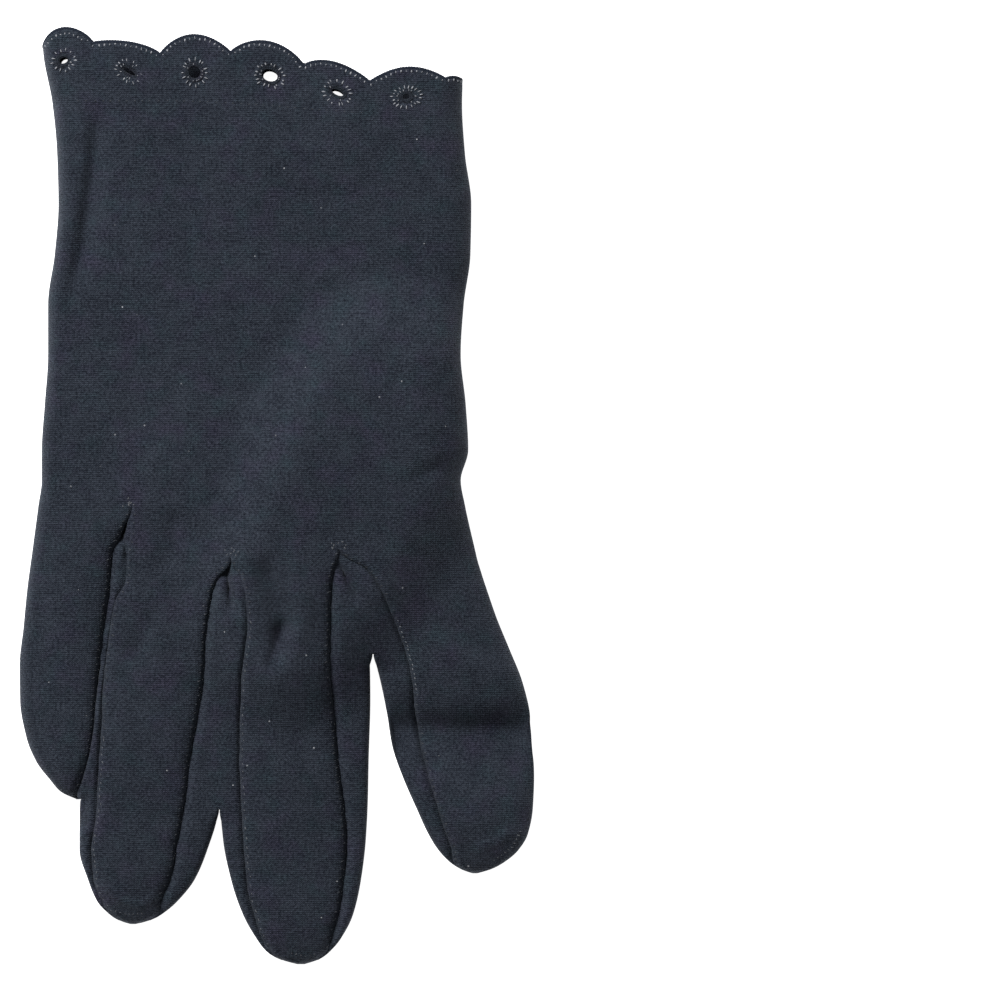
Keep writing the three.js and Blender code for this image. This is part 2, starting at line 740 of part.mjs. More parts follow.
// One eyelet's rim: a whipped ring that stands in its hole through the outer cloth and the facing.
function eyeletRim(row, low, high) {
  const { wide, tall } = eyeletSize(row);
  const mean = (wide + tall) / 2;
  const soft = EYELET_RIM * 0.3;
  const profile = [
    [mean, low],
    [mean + EYELET_RIM, low],
    [mean + EYELET_RIM, high - soft],
    [mean + EYELET_RIM - soft, high],
    [mean + soft, high],
    [mean, high - soft],
    [mean, low],
  ].map(([r, z]) => new THREE.Vector2(r, z));
  const geometry = new THREE.LatheGeometry(profile, RIM_SIDES);
  geometry.rotateX(Math.PI / 2);
  const reach = mean + EYELET_RIM;
  geometry.scale((wide + EYELET_RIM) / reach, (tall + EYELET_RIM) / reach, 1);
  return geometry;
}

function eyelets() {
  const rims = [];
  EYELETS.forEach((row, i) => {
    const x = row.across * HAND_WIDTH;
    const y = row.up * HAND_LENGTH;
    const finger = FINGERS.find((f) => x < stripEdge(f, "right", 1, y)) ?? FINGERS[FINGERS.length - 1];
    const edge = Math.min(x - handEdge("left", y), handEdge("right", y) - x);
    const dip = edge < EDGE_ROUND ? 1 - Math.sqrt(1 - (1 - edge / EDGE_ROUND) ** 2) : 0;
    const crown = backHeight(finger, 0.5, x, y);
    const half = (crown - PALM_LEVEL) / 2;
    const back = crown - dip * half;
    const palm = PALM_LEVEL + dip * half;
    const faces = [
      ["back", back - STEP - WALL / 2, back + WALL / 2 + EYELET_PROUD],
      ["palm", palm - WALL / 2 + CLEARANCE / 2, palm + STEP + WALL / 2],
    ];
    for (const [face, low, high] of faces) {
      const mesh = new THREE.Mesh(eyeletRim(row, low, high), THREAD);
      mesh.name = "eyelet_" + face + "_" + (i + 1);
      mesh.rotation.z = radians(row.turn);
      mesh.position.set(x, y, 0);
      rims.push(mesh);
    }
  });
  return rims;
}

// Assembly

const CLOTH = new THREE.MeshStandardMaterial({ color: 0x2e323c, roughness: 0.95, metalness: 0 });
const THREAD = new THREE.MeshStandardMaterial({ color: 0x24272f, roughness: 0.7, metalness: 0 });

function cloth(name, solid) {
  const mesh = new THREE.Mesh(geometryOf(solid), CLOTH);
  mesh.name = name;
  return mesh;
}

const edgeCutters = [beyondScallops(), ...EYELETS.map(eyeletHole)];
const mouth = thumbMouth();

const glove = new THREE.Group();
glove.add(cloth("trank_back", trank(1, edgeCutters)));
glove.add(cloth("trank_palm", trank(-1, [...edgeCutters, mouth])));
glove.add(cloth("thumb", thumb(mouth)));
for (const crotch of CROTCHES) glove.add(cloth("fourchette_" + crotch.name, fourchette(crotch)));
glove.add(cloth("cuff_facing", cuffFacing(edgeCutters)));
glove.add(...eyelets());

// The origin is under the middle of the glove, on the surface that it lies on.
const box = new THREE.Box3().setFromObject(glove, true);
const middle = box.getCenter(new THREE.Vector3());
glove.position.set(-middle.x, -middle.y, -box.min.z);

export default glove;
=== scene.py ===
"""A wrist length dress glove of black knitted cloth, lying flat with its back up.

Every length is in metres. +Z is up from the surface, +Y runs to the cuff and +X to the index finger.
The plan is drawn from the root line of the fingers (y = 0) and the middle of the hand (x = 0), and one
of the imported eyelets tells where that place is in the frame.
"""

import logging
import math
import random
from dataclasses import dataclass
from enum import Enum
from typing import Callable, Sequence

import bmesh
import bpy
from mathutils import Matrix, Vector, noise


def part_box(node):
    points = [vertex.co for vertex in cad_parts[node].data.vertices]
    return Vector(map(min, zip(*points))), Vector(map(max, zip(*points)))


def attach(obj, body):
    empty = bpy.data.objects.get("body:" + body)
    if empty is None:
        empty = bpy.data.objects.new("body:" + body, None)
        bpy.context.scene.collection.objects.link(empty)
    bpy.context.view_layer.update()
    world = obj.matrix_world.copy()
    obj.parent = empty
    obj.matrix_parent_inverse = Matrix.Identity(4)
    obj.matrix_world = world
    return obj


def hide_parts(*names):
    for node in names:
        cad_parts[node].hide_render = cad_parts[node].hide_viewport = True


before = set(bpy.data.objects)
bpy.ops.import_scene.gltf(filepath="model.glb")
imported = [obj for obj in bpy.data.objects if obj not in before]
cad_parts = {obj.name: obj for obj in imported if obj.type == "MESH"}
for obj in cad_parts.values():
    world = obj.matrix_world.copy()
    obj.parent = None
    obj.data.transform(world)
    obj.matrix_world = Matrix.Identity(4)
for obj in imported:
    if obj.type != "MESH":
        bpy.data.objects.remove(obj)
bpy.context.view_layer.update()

LOG = logging.getLogger("dress_glove")
MM = 0.001
BODY = "root"
UV_NAME = "knit"
CLOTH_START = 300.0
FACING_START = 500.0
BEAD_FACES = (5, 6)

Spot = tuple[Vector, tuple[float, float]]
Colour = tuple[float, float, float]
Size = tuple[float, float, float]
Piece = bpy.types.Object
Socket = bpy.types.NodeSocket


class Face(Enum):
    """A face of the glove, with the sign of its outward direction."""

    BACK = 1
    PALM = -1


class Thread(Enum):
    """How pale a run of sewing thread looks: the dark thread's own colour, or that colour lightened by a
    painted glint.
    """

    DARK = "dark"
    PALE = "pale"
    BRIGHT = "bright"


class Side(Enum):
    """A side of a finger seen from above, with the sign of the way in from it."""

    LEFT = 1
    RIGHT = -1


def clamp(value: float, low: float, high: float) -> float:
    """Keep a number between two others.

    Args:
        value: the number.
        low: the least it may be.
        high: the most it may be.

    Returns:
        The number, or the limit it passed.
    """
    return min(max(value, low), high)


def mix(a: float, b: float, share: float) -> float:
    """Go a share of the way from one number to another.

    Args:
        a: the number at share 0.
        b: the number at share 1.
        share: how far to go.

    Returns:
        The number at that share.
    """
    return a + (b - a) * share


def ease(share: float) -> float:
    """Turn a straight share into one that starts and ends level.

    Args:
        share: any number, held to 0 to 1.

    Returns:
        The eased share.
    """
    s = clamp(share, 0.0, 1.0)
    return s * s * (3 - 2 * s)


@dataclass(frozen=True)
class Table:
    """Rows of shares under named columns; the first column is the station."""

    columns: tuple[str, ...]
    rows: tuple[tuple[float, ...], ...]

    def read(self, name: str, at: float) -> float:
        """Read a column at a station, on a smooth curve that never overshoots its rows.

        Args:
            name: the column.
            at: the station.

        Returns:
            The column's value there.
        """
        rows = self.rows
        c = self.columns.index(name)
        last = len(rows) - 1
        if at <= rows[0][0]:
            return rows[0][c]
        if at >= rows[last][0]:
            return rows[last][c]
        i = 0
        while rows[i + 1][0] < at:
            i += 1
        span = rows[i + 1][0] - rows[i][0]
        t = (at - rows[i][0]) / span
        bend = self._slope(c, i) * span * t * (1 - t) ** 2 - self._slope(c, i + 1) * span * t * t * (1 - t)
        return mix(rows[i][c], rows[i + 1][c], t * t * (3 - 2 * t)) + bend

    def _chord(self, c: int, k: int) -> float:
        """The slope of the straight line from row k to the next."""
        return (self.rows[k + 1][c] - self.rows[k][c]) / (self.rows[k + 1][0] - self.rows[k][0])

    def _slope(self, c: int, k: int) -> float:
        """The curve's slope at row k, level where the column turns round.

        Args:
            c: the column's number.
            k: the row's number.

        Returns:
            The slope.
        """
        if k == 0:
            return self._chord(c, 0)
        if k == len(self.rows) - 1:
            return self._chord(c, k - 1)
        before, after = self._chord(c, k - 1), self._chord(c, k)
        return 0.0 if before * after <= 0 else 2 * before * after / (before + after)


FINGER_COLUMNS = ("along", "left", "seam_left", "seam_right", "right")

HAND = Table(
    ("along", "left", "right", "hollow"),
    (
        (0.0, -0.534, 0.527, 1.1),
        (0.1, -0.518, 0.5, 1.15),
        (0.15, -0.51, 0.49, 1.18),
        (0.21, -0.51, 0.508, 1.2),
        (0.3, -0.503, 0.502, 1.22),
        (0.4, -0.495, 0.49, 1.25),
        (0.5, -0.495, 0.497, 1.3),
        (0.6, -0.479, 0.513, 1.35),
        (0.7, -0.47, 0.515, 1.4),
        (0.8, -0.473, 0.5, 1.48),
        (0.9, -0.484, 0.493, 1.55),
        (1.0, -0.506, 0.497, 1.58),
        (1.08, -0.512, 0.497, 1.58),
    ),
)

LITTLE = Table(
    FINGER_COLUMNS,
    (
        (-0.207, -0.518, -0.518, -0.294, -0.294),
        (-0.1, -0.526, -0.526, -0.318, -0.31),
        (0.0, -0.534, -0.534, -0.346, -0.32),
        (0.14, -0.545, -0.545, -0.352, -0.33),
        (0.3, -0.554, -0.554, -0.366, -0.35),
        (0.45, -0.563, -0.563, -0.375, -0.36),
        (0.6, -0.562, -0.562, -0.384, -0.375),
        (0.75, -0.547, -0.547, -0.392, -0.385),
        (0.85, -0.523, -0.523, -0.402, -0.395),
        (0.92, -0.492, -0.492, -0.414, -0.405),
        (0.97, -0.467, -0.467, -0.424, -0.416),
        (0.985, -0.451, -0.451, -0.425, -0.416),
        (1.0, -0.43, -0.43, -0.424, -0.418),
    ),
)

RING = Table(
    FINGER_COLUMNS,
    (
        (-0.136, -0.294, -0.294, -0.055, -0.055),
        (-0.05, -0.31, -0.299, -0.055, -0.055),
        (0.0, -0.328, -0.303, -0.055, -0.055),
        (0.07, -0.336, -0.307, -0.093, -0.058),
        (0.12, -0.344, -0.33, -0.107, -0.06),
        (0.22, -0.356, -0.346, -0.12, -0.064),
        (0.35, -0.371, -0.361, -0.128, -0.07),
        (0.5, -0.385, -0.366, -0.152, -0.079),
        (0.6, -0.407, -0.372, -0.165, -0.084),
        (0.7, -0.42, -0.376, -0.177, -0.09),
        (0.8, -0.42, -0.388, -0.193, -0.115),
        (0.88, -0.4, -0.383, -0.205, -0.145),
        (0.94, -0.378, -0.364, -0.228, -0.187),
        (0.97, -0.354, -0.346, -0.23, -0.218),
        (0.988, -0.332, -0.326, -0.252, -0.245),
        (1.0, -0.302, -0.3, -0.286, -0.284),
    ),
)

MIDDLE = Table(
    FINGER_COLUMNS,
    (
        (-0.02, -0.055, -0.055, 0.201, 0.201),
        (0.0, -0.055, -0.055, 0.196, 0.203),
        (0.05, -0.056, -0.032, 0.183, 0.213),
        (0.1, -0.06, -0.02, 0.178, 0.232),
        (0.18, -0.063, -0.015, 0.176, 0.26),
        (0.26, -0.068, -0.025, 0.175, 0.273),
        (0.35, -0.073, -0.031, 0.181, 0.274),
        (0.5, -0.08, -0.034, 0.195, 0.27),
        (0.6, -0.084, -0.032, 0.207, 0.268),
        (0.7, -0.077, -0.026, 0.214, 0.263),
        (0.8, -0.057, -0.018, 0.207, 0.251),
        (0.88, -0.03, 0.0, 0.194, 0.233),
        (0.94, 0.003, 0.019, 0.179, 0.203),
        (0.97, 0.026, 0.034, 0.17, 0.178),
        (0.988, 0.055, 0.062, 0.149, 0.155),
        (1.0, 0.096, 0.1, 0.116, 0.12),
    ),
)

INDEX = Table(
    FINGER_COLUMNS,
    (
        (-0.025, 0.201, 0.201, 0.524, 0.524),
        (0.0, 0.205, 0.232, 0.527, 0.527),
        (0.06, 0.214, 0.28, 0.54, 0.54),
        (0.12, 0.23, 0.307, 0.555, 0.555),
        (0.2, 0.254, 0.331, 0.576, 0.576),
        (0.3, 0.279, 0.36, 0.607, 0.607),
        (0.4, 0.299, 0.378, 0.637, 0.637),
        (0.5, 0.314, 0.384, 0.655, 0.655),
        (0.6, 0.326, 0.396, 0.662, 0.662),
        (0.7, 0.352, 0.416, 0.665, 0.665),
        (0.8, 0.385, 0.439, 0.662, 0.662),
        (0.88, 0.413, 0.458, 0.65, 0.65),
        (0.93, 0.437, 0.471, 0.627, 0.627),
        (0.97, 0.467, 0.475, 0.59, 0.59),
        (0.988, 0.49, 0.494, 0.563, 0.563),
        (1.0, 0.515, 0.517, 0.533, 0.533),
    ),
)

THUMB = Table(
    ("along", "width", "height"),
    (
        (0.0, 0.26, 0.3),
        (0.03, 0.55, 0.65),
        (0.09, 0.82, 0.95),
        (0.18, 0.97, 1.0),
        (0.32, 1.0, 1.0),
        (0.5, 0.92, 1.0),
        (0.68, 0.82, 1.0),
        (0.82, 0.76, 1.0),
        (0.91, 0.62, 0.92),
        (0.97, 0.42, 0.66),
        (1.0, 0.2, 0.3),
    ),
)


FOLD_REACHES = 2.2
FOLD_END_SHARE = 0.3
FOLD_END_START = 0.15


@dataclass(frozen=True)
class Fold:
    """A soft valley or ridge in the back, along a line of points given in millimetres."""

    path: tuple[tuple[float, float], ...]
    rise: float
    half_width: float
    lean: float = 0.0
    from_x: float = -100.0

    def height(self, x: float, y: float) -> float:
        """How far the fold lifts the cloth at a place.

        Args:
            x: across, in metres.
            y: up the hand, in metres.

        Returns:
            The rise there, in metres, which is negative in a valley.
        """
        px, py = x / MM, y / MM
        if px < self.from_x:
            return 0.0
        best, side, along = math.inf, 1.0, 0.0
        count = len(self.path) - 1
        for k in range(count):
            (ax, ay), (bx, by) = self.path[k], self.path[k + 1]
            dx, dy = bx - ax, by - ay
            t = clamp(((px - ax) * dx + (py - ay) * dy) / (dx * dx + dy * dy), 0.0, 1.0)
            gap = math.hypot(px - ax - t * dx, py - ay - t * dy)
            if gap < best:
                best = gap
                side = 1.0 if dx * (py - ay) - dy * (px - ax) > 0 else -1.0
                along = (k + t) / count
        reach = self.half_width * (1 + self.lean * side)
        if best >= FOLD_REACHES * reach:
            return 0.0
        fade = ease(min(along, 1 - along) / FOLD_END_SHARE + FOLD_END_START)
        return self.rise * MM * math.exp(-((best / reach) ** 2)) * fade


@dataclass(frozen=True)
class Crotch:
    """The slit between two fingers: its top, line, parting, crease and left seam's opening length."""

    name: str
    up: float
    line: Table
    parting: float
    crease: Fold
    fade: float


@dataclass(frozen=True)
class Finger:
    """A finger: its length from the root line, its outline, and the slits on its two sides."""

    name: str
    length: float
    table: Table
    before: Crotch | None
    after: Crotch | None

    def crotch(self, side: Side) -> Crotch | None:
        """The slit on one side of the finger, or nothing at the glove's own edge."""
        return self.before if side is Side.LEFT else self.after


LITTLE_RING = Crotch(
    "little_ring",
    0.0998,
    Table(
        ("along", "across"),
        (
            (-0.123, -0.294),
            (-0.066, -0.306),
            (-0.01, -0.322),
            (0.086, -0.337),
            (0.182, -0.355),
            (0.26, -0.365),
            (0.351, -0.377),
            (0.43, -0.384),
            (0.489, -0.394),
            (0.536, -0.406),
            (0.58, -0.416),
            (0.68, -0.423),
        ),
    ),
    -53.3 * MM,
    Fold(((-28.2, 8.0), (-29.0, 4.4), (-28.4, 0.6), (-28.0, -2.0)), -1.3, 0.85),
    40 * MM,
)
RING_MIDDLE = Crotch(
    "ring_middle",
    0.0,
    Table(("along", "across"), ((0.0, -0.055), (0.622, -0.086), (0.774, -0.1), (1.0, -0.122))),
    -55.6 * MM,
    Fold(((-6.0, 0.5), (-6.0, -4.0), (-5.4, -8.5), (-4.8, -13.0)), -1.9, 1.0),
    20 * MM,
)
MIDDLE_INDEX = Crotch(
    "middle_index",
    0.016,
    Table(
        ("along", "across"),
        (
            (-0.02, 0.201),
            (0.086, 0.227),
            (0.16, 0.254),
            (0.233, 0.28),
            (0.356, 0.292),
            (0.553, 0.311),
            (0.676, 0.337),
            (0.774, 0.373),
            (1.0, 0.416),
        ),
    ),
    -21.4 * MM,
    Fold(((18.2, -1.0), (20.0, -4.8), (21.7, -8.0), (22.8, -10.4)), -1.3, 0.9),
    4 * MM,
)
CROTCHES = (LITTLE_RING, RING_MIDDLE, MIDDLE_INDEX)
FINGERS = (
    Finger("little", 53.2 * MM, LITTLE, None, LITTLE_RING),
    Finger("ring", 80.7 * MM, RING, LITTLE_RING, RING_MIDDLE),
    Finger("middle", 89.5 * MM, MIDDLE, RING_MIDDLE, MIDDLE_INDEX),
    Finger("index", 69.5 * MM, INDEX, MIDDLE_INDEX, None),
)


@dataclass(frozen=True)
class Scallop:
    """One scallop of the cuff: the notch that it ends at, as shares, its crest, fullness and lean."""

    across: float
    up: float
    crest: float = 0.0
    fullness: float = 0.65
    lean: float = 0.0


SCALLOP_START = Scallop(-0.504, 1.01)
SCALLOPS = (
    Scallop(-0.388, 1.02, 1.04, 0.63, -0.24),
    Scallop(-0.225, 0.995, 0.45, 0.5, 0.26),
    Scallop(-0.057, 0.9994, 1.12, 0.78, -0.1),
    Scallop(0.115, 0.973, 1.06, 0.64, 0.04),
    Scallop(0.273, 0.943, 0.66, 0.77, -0.16),
    Scallop(0.454, 0.95, 0.73, 0.86, 0.01),
    Scallop(0.505, 0.938, 0.29, 0.6, 0.18),
)


@dataclass(frozen=True)
class Eyelet:
    """One eyelet: its place and bore as shares, its turn, and its ring of thread ends in millimetres."""

    number: int
    across: float
    up: float
    wide: float
    tall: float
    turn: float
    ring: tuple[float, float]
    ends: int
    through: bool


EYELETS = (
    Eyelet(1, -0.455, 0.984, 0.8, 0.55, 25, (2.45, 2.35), 13, True),
    Eyelet(2, -0.299, 0.962, 1.3, 0.4, -32, (3.15, 2.15), 15, False),
    Eyelet(3, -0.143, 0.96, 1.05, 1.05, 0, (2.6, 2.8), 16, False),
    Eyelet(4, 0.036, 0.954, 1.4, 1.05, -18, (3.2, 2.5), 18, True),
    Eyelet(5, 0.197, 0.92, 1.1, 0.5, -25, (3.1, 2.4), 16, True),
    Eyelet(6, 0.361, 0.912, 0.6, 0.5, 8, (3.1, 2.2), 19, False),
)


FOLDS = (
    Fold(((-34.6, 99.0), (-36.0, 84.0), (-38.0, 69.0), (-41.0, 55.0)), -1.9, 2.1, 0.45),
    Fold(((-43.5, 92.0), (-43.6, 78.0), (-44.0, 64.0)), 0.6, 2.0),
    Fold(((13.0, 66.0), (22.0, 60.0), (32.0, 51.0)), 0.55, 2.8),
    Fold(((22.0, 41.0), (32.0, 33.0), (44.0, 23.5)), 0.65, 3.0),
    Fold(((47.0, 24.5), (41.0, 19.5), (33.0, 16.5)), -0.9, 2.0),
    Fold(((1.0, 0.5), (4.0, -7.0), (6.4, -14.5), (4.4, -23.0)), -2.0, 2.8, -0.1),
    Fold(((6.2, -13.0), (5.0, -19.0), (2.6, -26.0)), -1.15, 1.9, 0.3),
    Fold(((9.6, -5.0), (10.8, -13.0), (7.4, -25.0)), 0.7, 2.0),
    Fold(((-1.6, -17.0), (0.4, -21.5), (-0.6, -27.0)), -0.5, 2.0),
    Fold(((12.0, -36.5), (45.0, -39.0), (78.0, -36.5)), -4.3, 7.4, -0.38, 26.0),
    Fold(((24.0, -2.0), (33.0, -18.0), (36.0, -32.0)), 1.0, 7.0),
    Fold(((38.0, -46.0), (42.0, -56.0), (47.0, -64.0)), 0.8, 6.0, 0.0, 26.0),
    Fold(((35.0, 50.0), (36.5, 33.0), (36.0, 14.0)), 1.4, 6.0),
    Fold(((38.0, -18.0), (50.0, -24.5), (62.0, -30.5)), 1.0, 3.2, -0.3),
    Fold(((-33.4, -71.0), (-30.0, -75.5), (-25.0, -76.8), (-21.0, -74.0)), 1.4, 1.0),
    Fold(((48.0, -64.0), (53.5, -62.8), (57.6, -58.5)), 0.9, 1.0),
    Fold(((15.5, -80.5), (16.8, -84.0), (14.6, -86.6)), -1.2, 0.9),
    Fold(((-12.0, 91.0), (8.0, 88.0), (26.0, 86.0)), 0.45, 5.0),
    Fold(((-34.0, 12.0), (-31.0, 24.0), (-24.0, 36.0)), -0.3, 5.0),
    Fold(((-17.0, 11.0), (-18.2, 3.0), (-20.0, -5.0)), -0.8, 2.6),
    Fold(((-22.0, -10.0), (-24.5, -17.0), (-27.5, -25.0)), -0.7, 2.4),
    Fold(((-10.0, 4.0), (-14.0, 16.0), (-22.0, 26.0)), 0.5, 4.5),
    Fold(((18.0, 4.0), (14.0, 16.0), (4.0, 26.0)), 0.5, 4.5),
    Fold(((36.0, -64.0), (42.0, -50.0), (48.0, -44.0)), -0.25, 3.0),
)


@dataclass(frozen=True)
class Plan:
    """The sizes of the glove, and where its cloth lies in plan and in height."""

    hand_width: float = 92 * MM
    hand_length: float = 110.2 * MM
    middle_length: float = 89.5 * MM
    wall: float = 1.0 * MM
    clearance: float = 0.3 * MM
    finger_hollow: float = 4.8 * MM
    thumb_hollow: float = 3.2 * MM
    hand_crown: float = 1.0 * MM
    finger_crown: float = 0.9 * MM
    edge_round: float = 5.0 * MM
    tip_rise: float = 0.8 * MM
    palm_turn: float = 3.0 * MM
    seam_spread: float = 4.0 * MM
    root_blend: float = 22 * MM
    tip_start: float = 0.84
    thumb_base: tuple[float, float] = (34.5 * MM, 41.5 * MM)
    thumb_turn: float = 26.0
    thumb_length: float = 68 * MM
    thumb_width: float = 25 * MM
    thumb_drape: float = 17 * MM
    half_wall: float = 0.38 * MM
    inner_half: float = 0.33 * MM
    parting_length: float = 2.5 * MM
    tip_step: float = 0.84 * MM
    seam_round: float = 2.5 * MM
    scallop_depth: float = 3.9 * MM
    scallop_from: float = 0.8
    hem_inset: float = 0.45 * MM
    eyelet_bore: float = 2.6 * MM
    eyelet_rim: float = 1.0 * MM
    tip_lap: float = 0.2
    tip_rounding: float = 0.15
    thumb_reach: tuple[float, float] = (0.12, 0.92)

    @property
    def step(self) -> float:
        """From the middle of one cloth to the next."""
        return self.wall + self.clearance

    @property
    def palm_level(self) -> float:
        """The middle of the palm's cloth over the surface."""
        return self.wall / 2

    @property
    def thumb_lift(self) -> float:
        """How far the palm is lifted over the thumb."""
        return self.thumb_hollow + 2 * self.wall + self.clearance

    def hand_edge(self, side: Side, y: float) -> float:
        """The middle of the wall at the hand's own edge.

        Args:
            side: which edge.
            y: the height up the hand.

        Returns:
            Its place across.
        """
        name = "left" if side is Side.LEFT else "right"
        return HAND.read(name, y / self.hand_length) * self.hand_width + side.value * self.half_wall

    def crotch_up(self, crotch: Crotch) -> float:
        """The height of the top of a slit."""
        return crotch.up * self.hand_length

    def divider(self, crotch: Crotch, y: float) -> float:
        """The place across of the line between two fingers."""
        return crotch.line.read("across", -y / self.middle_length) * self.hand_width

    def crotch_share(self, crotch: Crotch) -> float:
        """The share of the hand's width at which a slit starts.

        Args:
            crotch: the slit.

        Returns:
            The share.
        """
        y = self.crotch_up(crotch)
        left = self.hand_edge(Side.LEFT, y)
        return (self.divider(crotch, y) - left) / (self.hand_edge(Side.RIGHT, y) - left)

    def outline(self, finger: Finger, side: Side, y: float) -> float:
        """The middle of the wall at a finger's outline, on its own side of the line between fingers.

        Args:
            finger: the finger.
            side: which of its sides.
            y: the height, below 0 along the finger.

        Returns:
            Its place across.
        """
        crotch = finger.crotch(side)
        if y >= 0 and crotch is None:
            return self.hand_edge(side, y)
        name = "left" if side is Side.LEFT else "right"
        edge = finger.table.read(name, -y / finger.length) * self.hand_width
        if crotch is None:
            return edge + side.value * self.half_wall
        own = edge + side.value * self.inner_half
        limit = self.divider(crotch, y) + side.value * self.inner_half
        held = max(own, limit) if side is Side.LEFT else min(own, limit)
        return mix(limit, held, clamp((crotch.parting - y) / self.parting_length, 0.0, 1.0))

    def tip_share(self, finger: Finger, y: float) -> float:
        """How far a place is into the closing of the fingertip, from 0 to 1."""
        return clamp((-y / finger.length - self.tip_start) / (1 - self.tip_start), 0.0, 1.0)

    def tip_narrow(self, finger: Finger, y: float) -> float:
        """How much of its full width a lap keeps towards the fingertip."""
        return mix(1.0, self.tip_lap, ease(self.tip_share(finger, y)))

    def rounding(self, finger: Finger, y: float) -> float:
        """How wide the turn from back to palm is at the glove's own edge.

        Args:
            finger: the finger at that edge.
            y: the height.

        Returns:
            The width of the turn.
        """
        full = self.seam_round if finger.before is None else self.edge_round
        if y >= 0:
            return full
        return mix(full, self.tip_rounding * self.edge_round, ease(self.tip_share(finger, y)))

    def strip_edge(self, finger: Finger, side: Side, face: Face, y: float) -> float:
        """The edge of a finger's back or palm strip; above the slit the strips run on as one cloth.

        Args:
            finger: the finger.
            side: which edge of the strip.
            face: back or palm.
            y: the height.

        Returns:
            Its place across.
        """
        crotch = finger.crotch(side)
        if crotch is None:
            return self.outline(finger, side, y) + side.value * self.rounding(finger, y)
        top = self.crotch_up(crotch)
        if y >= top:
            left = self.hand_edge(Side.LEFT, y)
            return mix(left, self.hand_edge(Side.RIGHT, y), self.crotch_share(crotch))
        apex = self.divider(crotch, top)
        outline = self.outline(finger, side, y)
        if face is Face.BACK:
            column = "seam_left" if side is Side.LEFT else "seam_right"
            wanted = finger.table.read(column, -y / finger.length) * self.hand_width
        else:
            wanted = outline + side.value * self.palm_turn * self.tip_narrow(finger, y)
        held = max(wanted, outline) if side is Side.LEFT else min(wanted, outline)
        return mix(apex, held, clamp((top - y) / self.seam_spread, 0.0, 1.0))

    def lift(self, x: float, y: float) -> float:
        """How far the cloth is lifted where it drapes over the thumb.

        Args:
            x: the place across.
            y: the height.

        Returns:
            The lift.
        """
        turn = math.radians(self.thumb_turn)
        dx, dy = x - self.thumb_base[0], y - self.thumb_base[1]
        along = -dx * math.sin(turn) - dy * math.cos(turn)
        aside = dx * math.cos(turn) - dy * math.sin(turn)
        share = clamp(along / self.thumb_length, *self.thumb_reach)
        away = math.hypot(along - share * self.thumb_length, aside)
        half = THUMB.read("width", share) * self.thumb_width / 2 + self.step
        return self.thumb_lift * ease(1 - (away - half) / self.thumb_drape)

    def palm_height(self, finger: Finger, y: float) -> float:
        """The middle of the palm's cloth, which rises a little under the fingertip."""
        fall = ease(self.tip_share(finger, y)) if y < 0 else 0.0
        return self.palm_level + self.tip_rise * fall

    def back_height(self, finger: Finger, share: float, x: float, y: float) -> float:
        """The middle of the back's cloth, before it is lifted by the thumb.

        Args:
            finger: the finger whose strip it is.
            share: the share across the strip.
            x: the place across.
            y: the height.

        Returns:
            The height over the surface.
        """
        left = self.hand_edge(Side.LEFT, y)
        s = clamp((x - left) / (self.hand_edge(Side.RIGHT, y) - left), 0.0, 1.0)
        room = HAND.read("hollow", y / self.hand_length) * self.finger_hollow
        hand = self.palm_level + room + self.wall + self.hand_crown * 4 * s * (1 - s)
        if y >= self.crotch_up(LITTLE_RING):
            return hand
        before = self._open(finger.before or finger.after, y)
        after = self._open(finger.after or finger.before, y)
        own = self.palm_level + self.finger_hollow + self.wall + self.finger_crown * 4 * share * (1 - share)
        height = mix(hand, own, mix(before, after, share))
        c = self.tip_share(finger, y) if y < 0 else 0.0
        return mix(height, self.palm_height(finger, y) + self.tip_step, 1 - math.sqrt(1 - c * c))

    def _open(self, crotch: Crotch, y: float) -> float:
        """How far the hand's height has changed to the finger's below a slit's top."""
        return ease((self.crotch_up(crotch) - y) / self.root_blend)

    def scallop(self, x: float) -> float:
        """The height of the scalloped edge at a place across.

        Args:
            x: the place across.

        Returns:
            The height.
        """
        start = SCALLOP_START
        for row in SCALLOPS:
            end = row.across * self.hand_width
            if x <= end or row is SCALLOPS[-1]:
                begin = start.across * self.hand_width
                t = clamp((x - begin) / (end - begin), 0.0, 1.0)
                wave = max(math.sin(math.pi * t ** math.exp(row.lean)), 0.0)
                rise = row.crest * self.scallop_depth * wave**row.fullness
                return mix(start.up, row.up, t) * self.hand_length + rise
            start = row
        return start.up * self.hand_length

    def to_scallops(self, x: float, y: float) -> tuple[float, float]:
        """Move a place near the cuff so that the last row follows the scalloped edge.

        Args:
            x: the place across.
            y: the height, hand_length on the last row.

        Returns:
            The place across, kept as far between the hand's edges as it was, and the new height.
        """
        low = self.scallop_from * self.hand_length
        if y <= low:
            return x, y
        top = self.scallop(x) - self.hem_inset
        moved = low + (y - low) * (top - low) / (self.hand_length - low)
        left, right = self.hand_edge(Side.LEFT, y), self.hand_edge(Side.RIGHT, y)
        share = (x - left) / (right - left)
        return mix(self.hand_edge(Side.LEFT, moved), self.hand_edge(Side.RIGHT, moved), share), moved


PLAN = Plan()


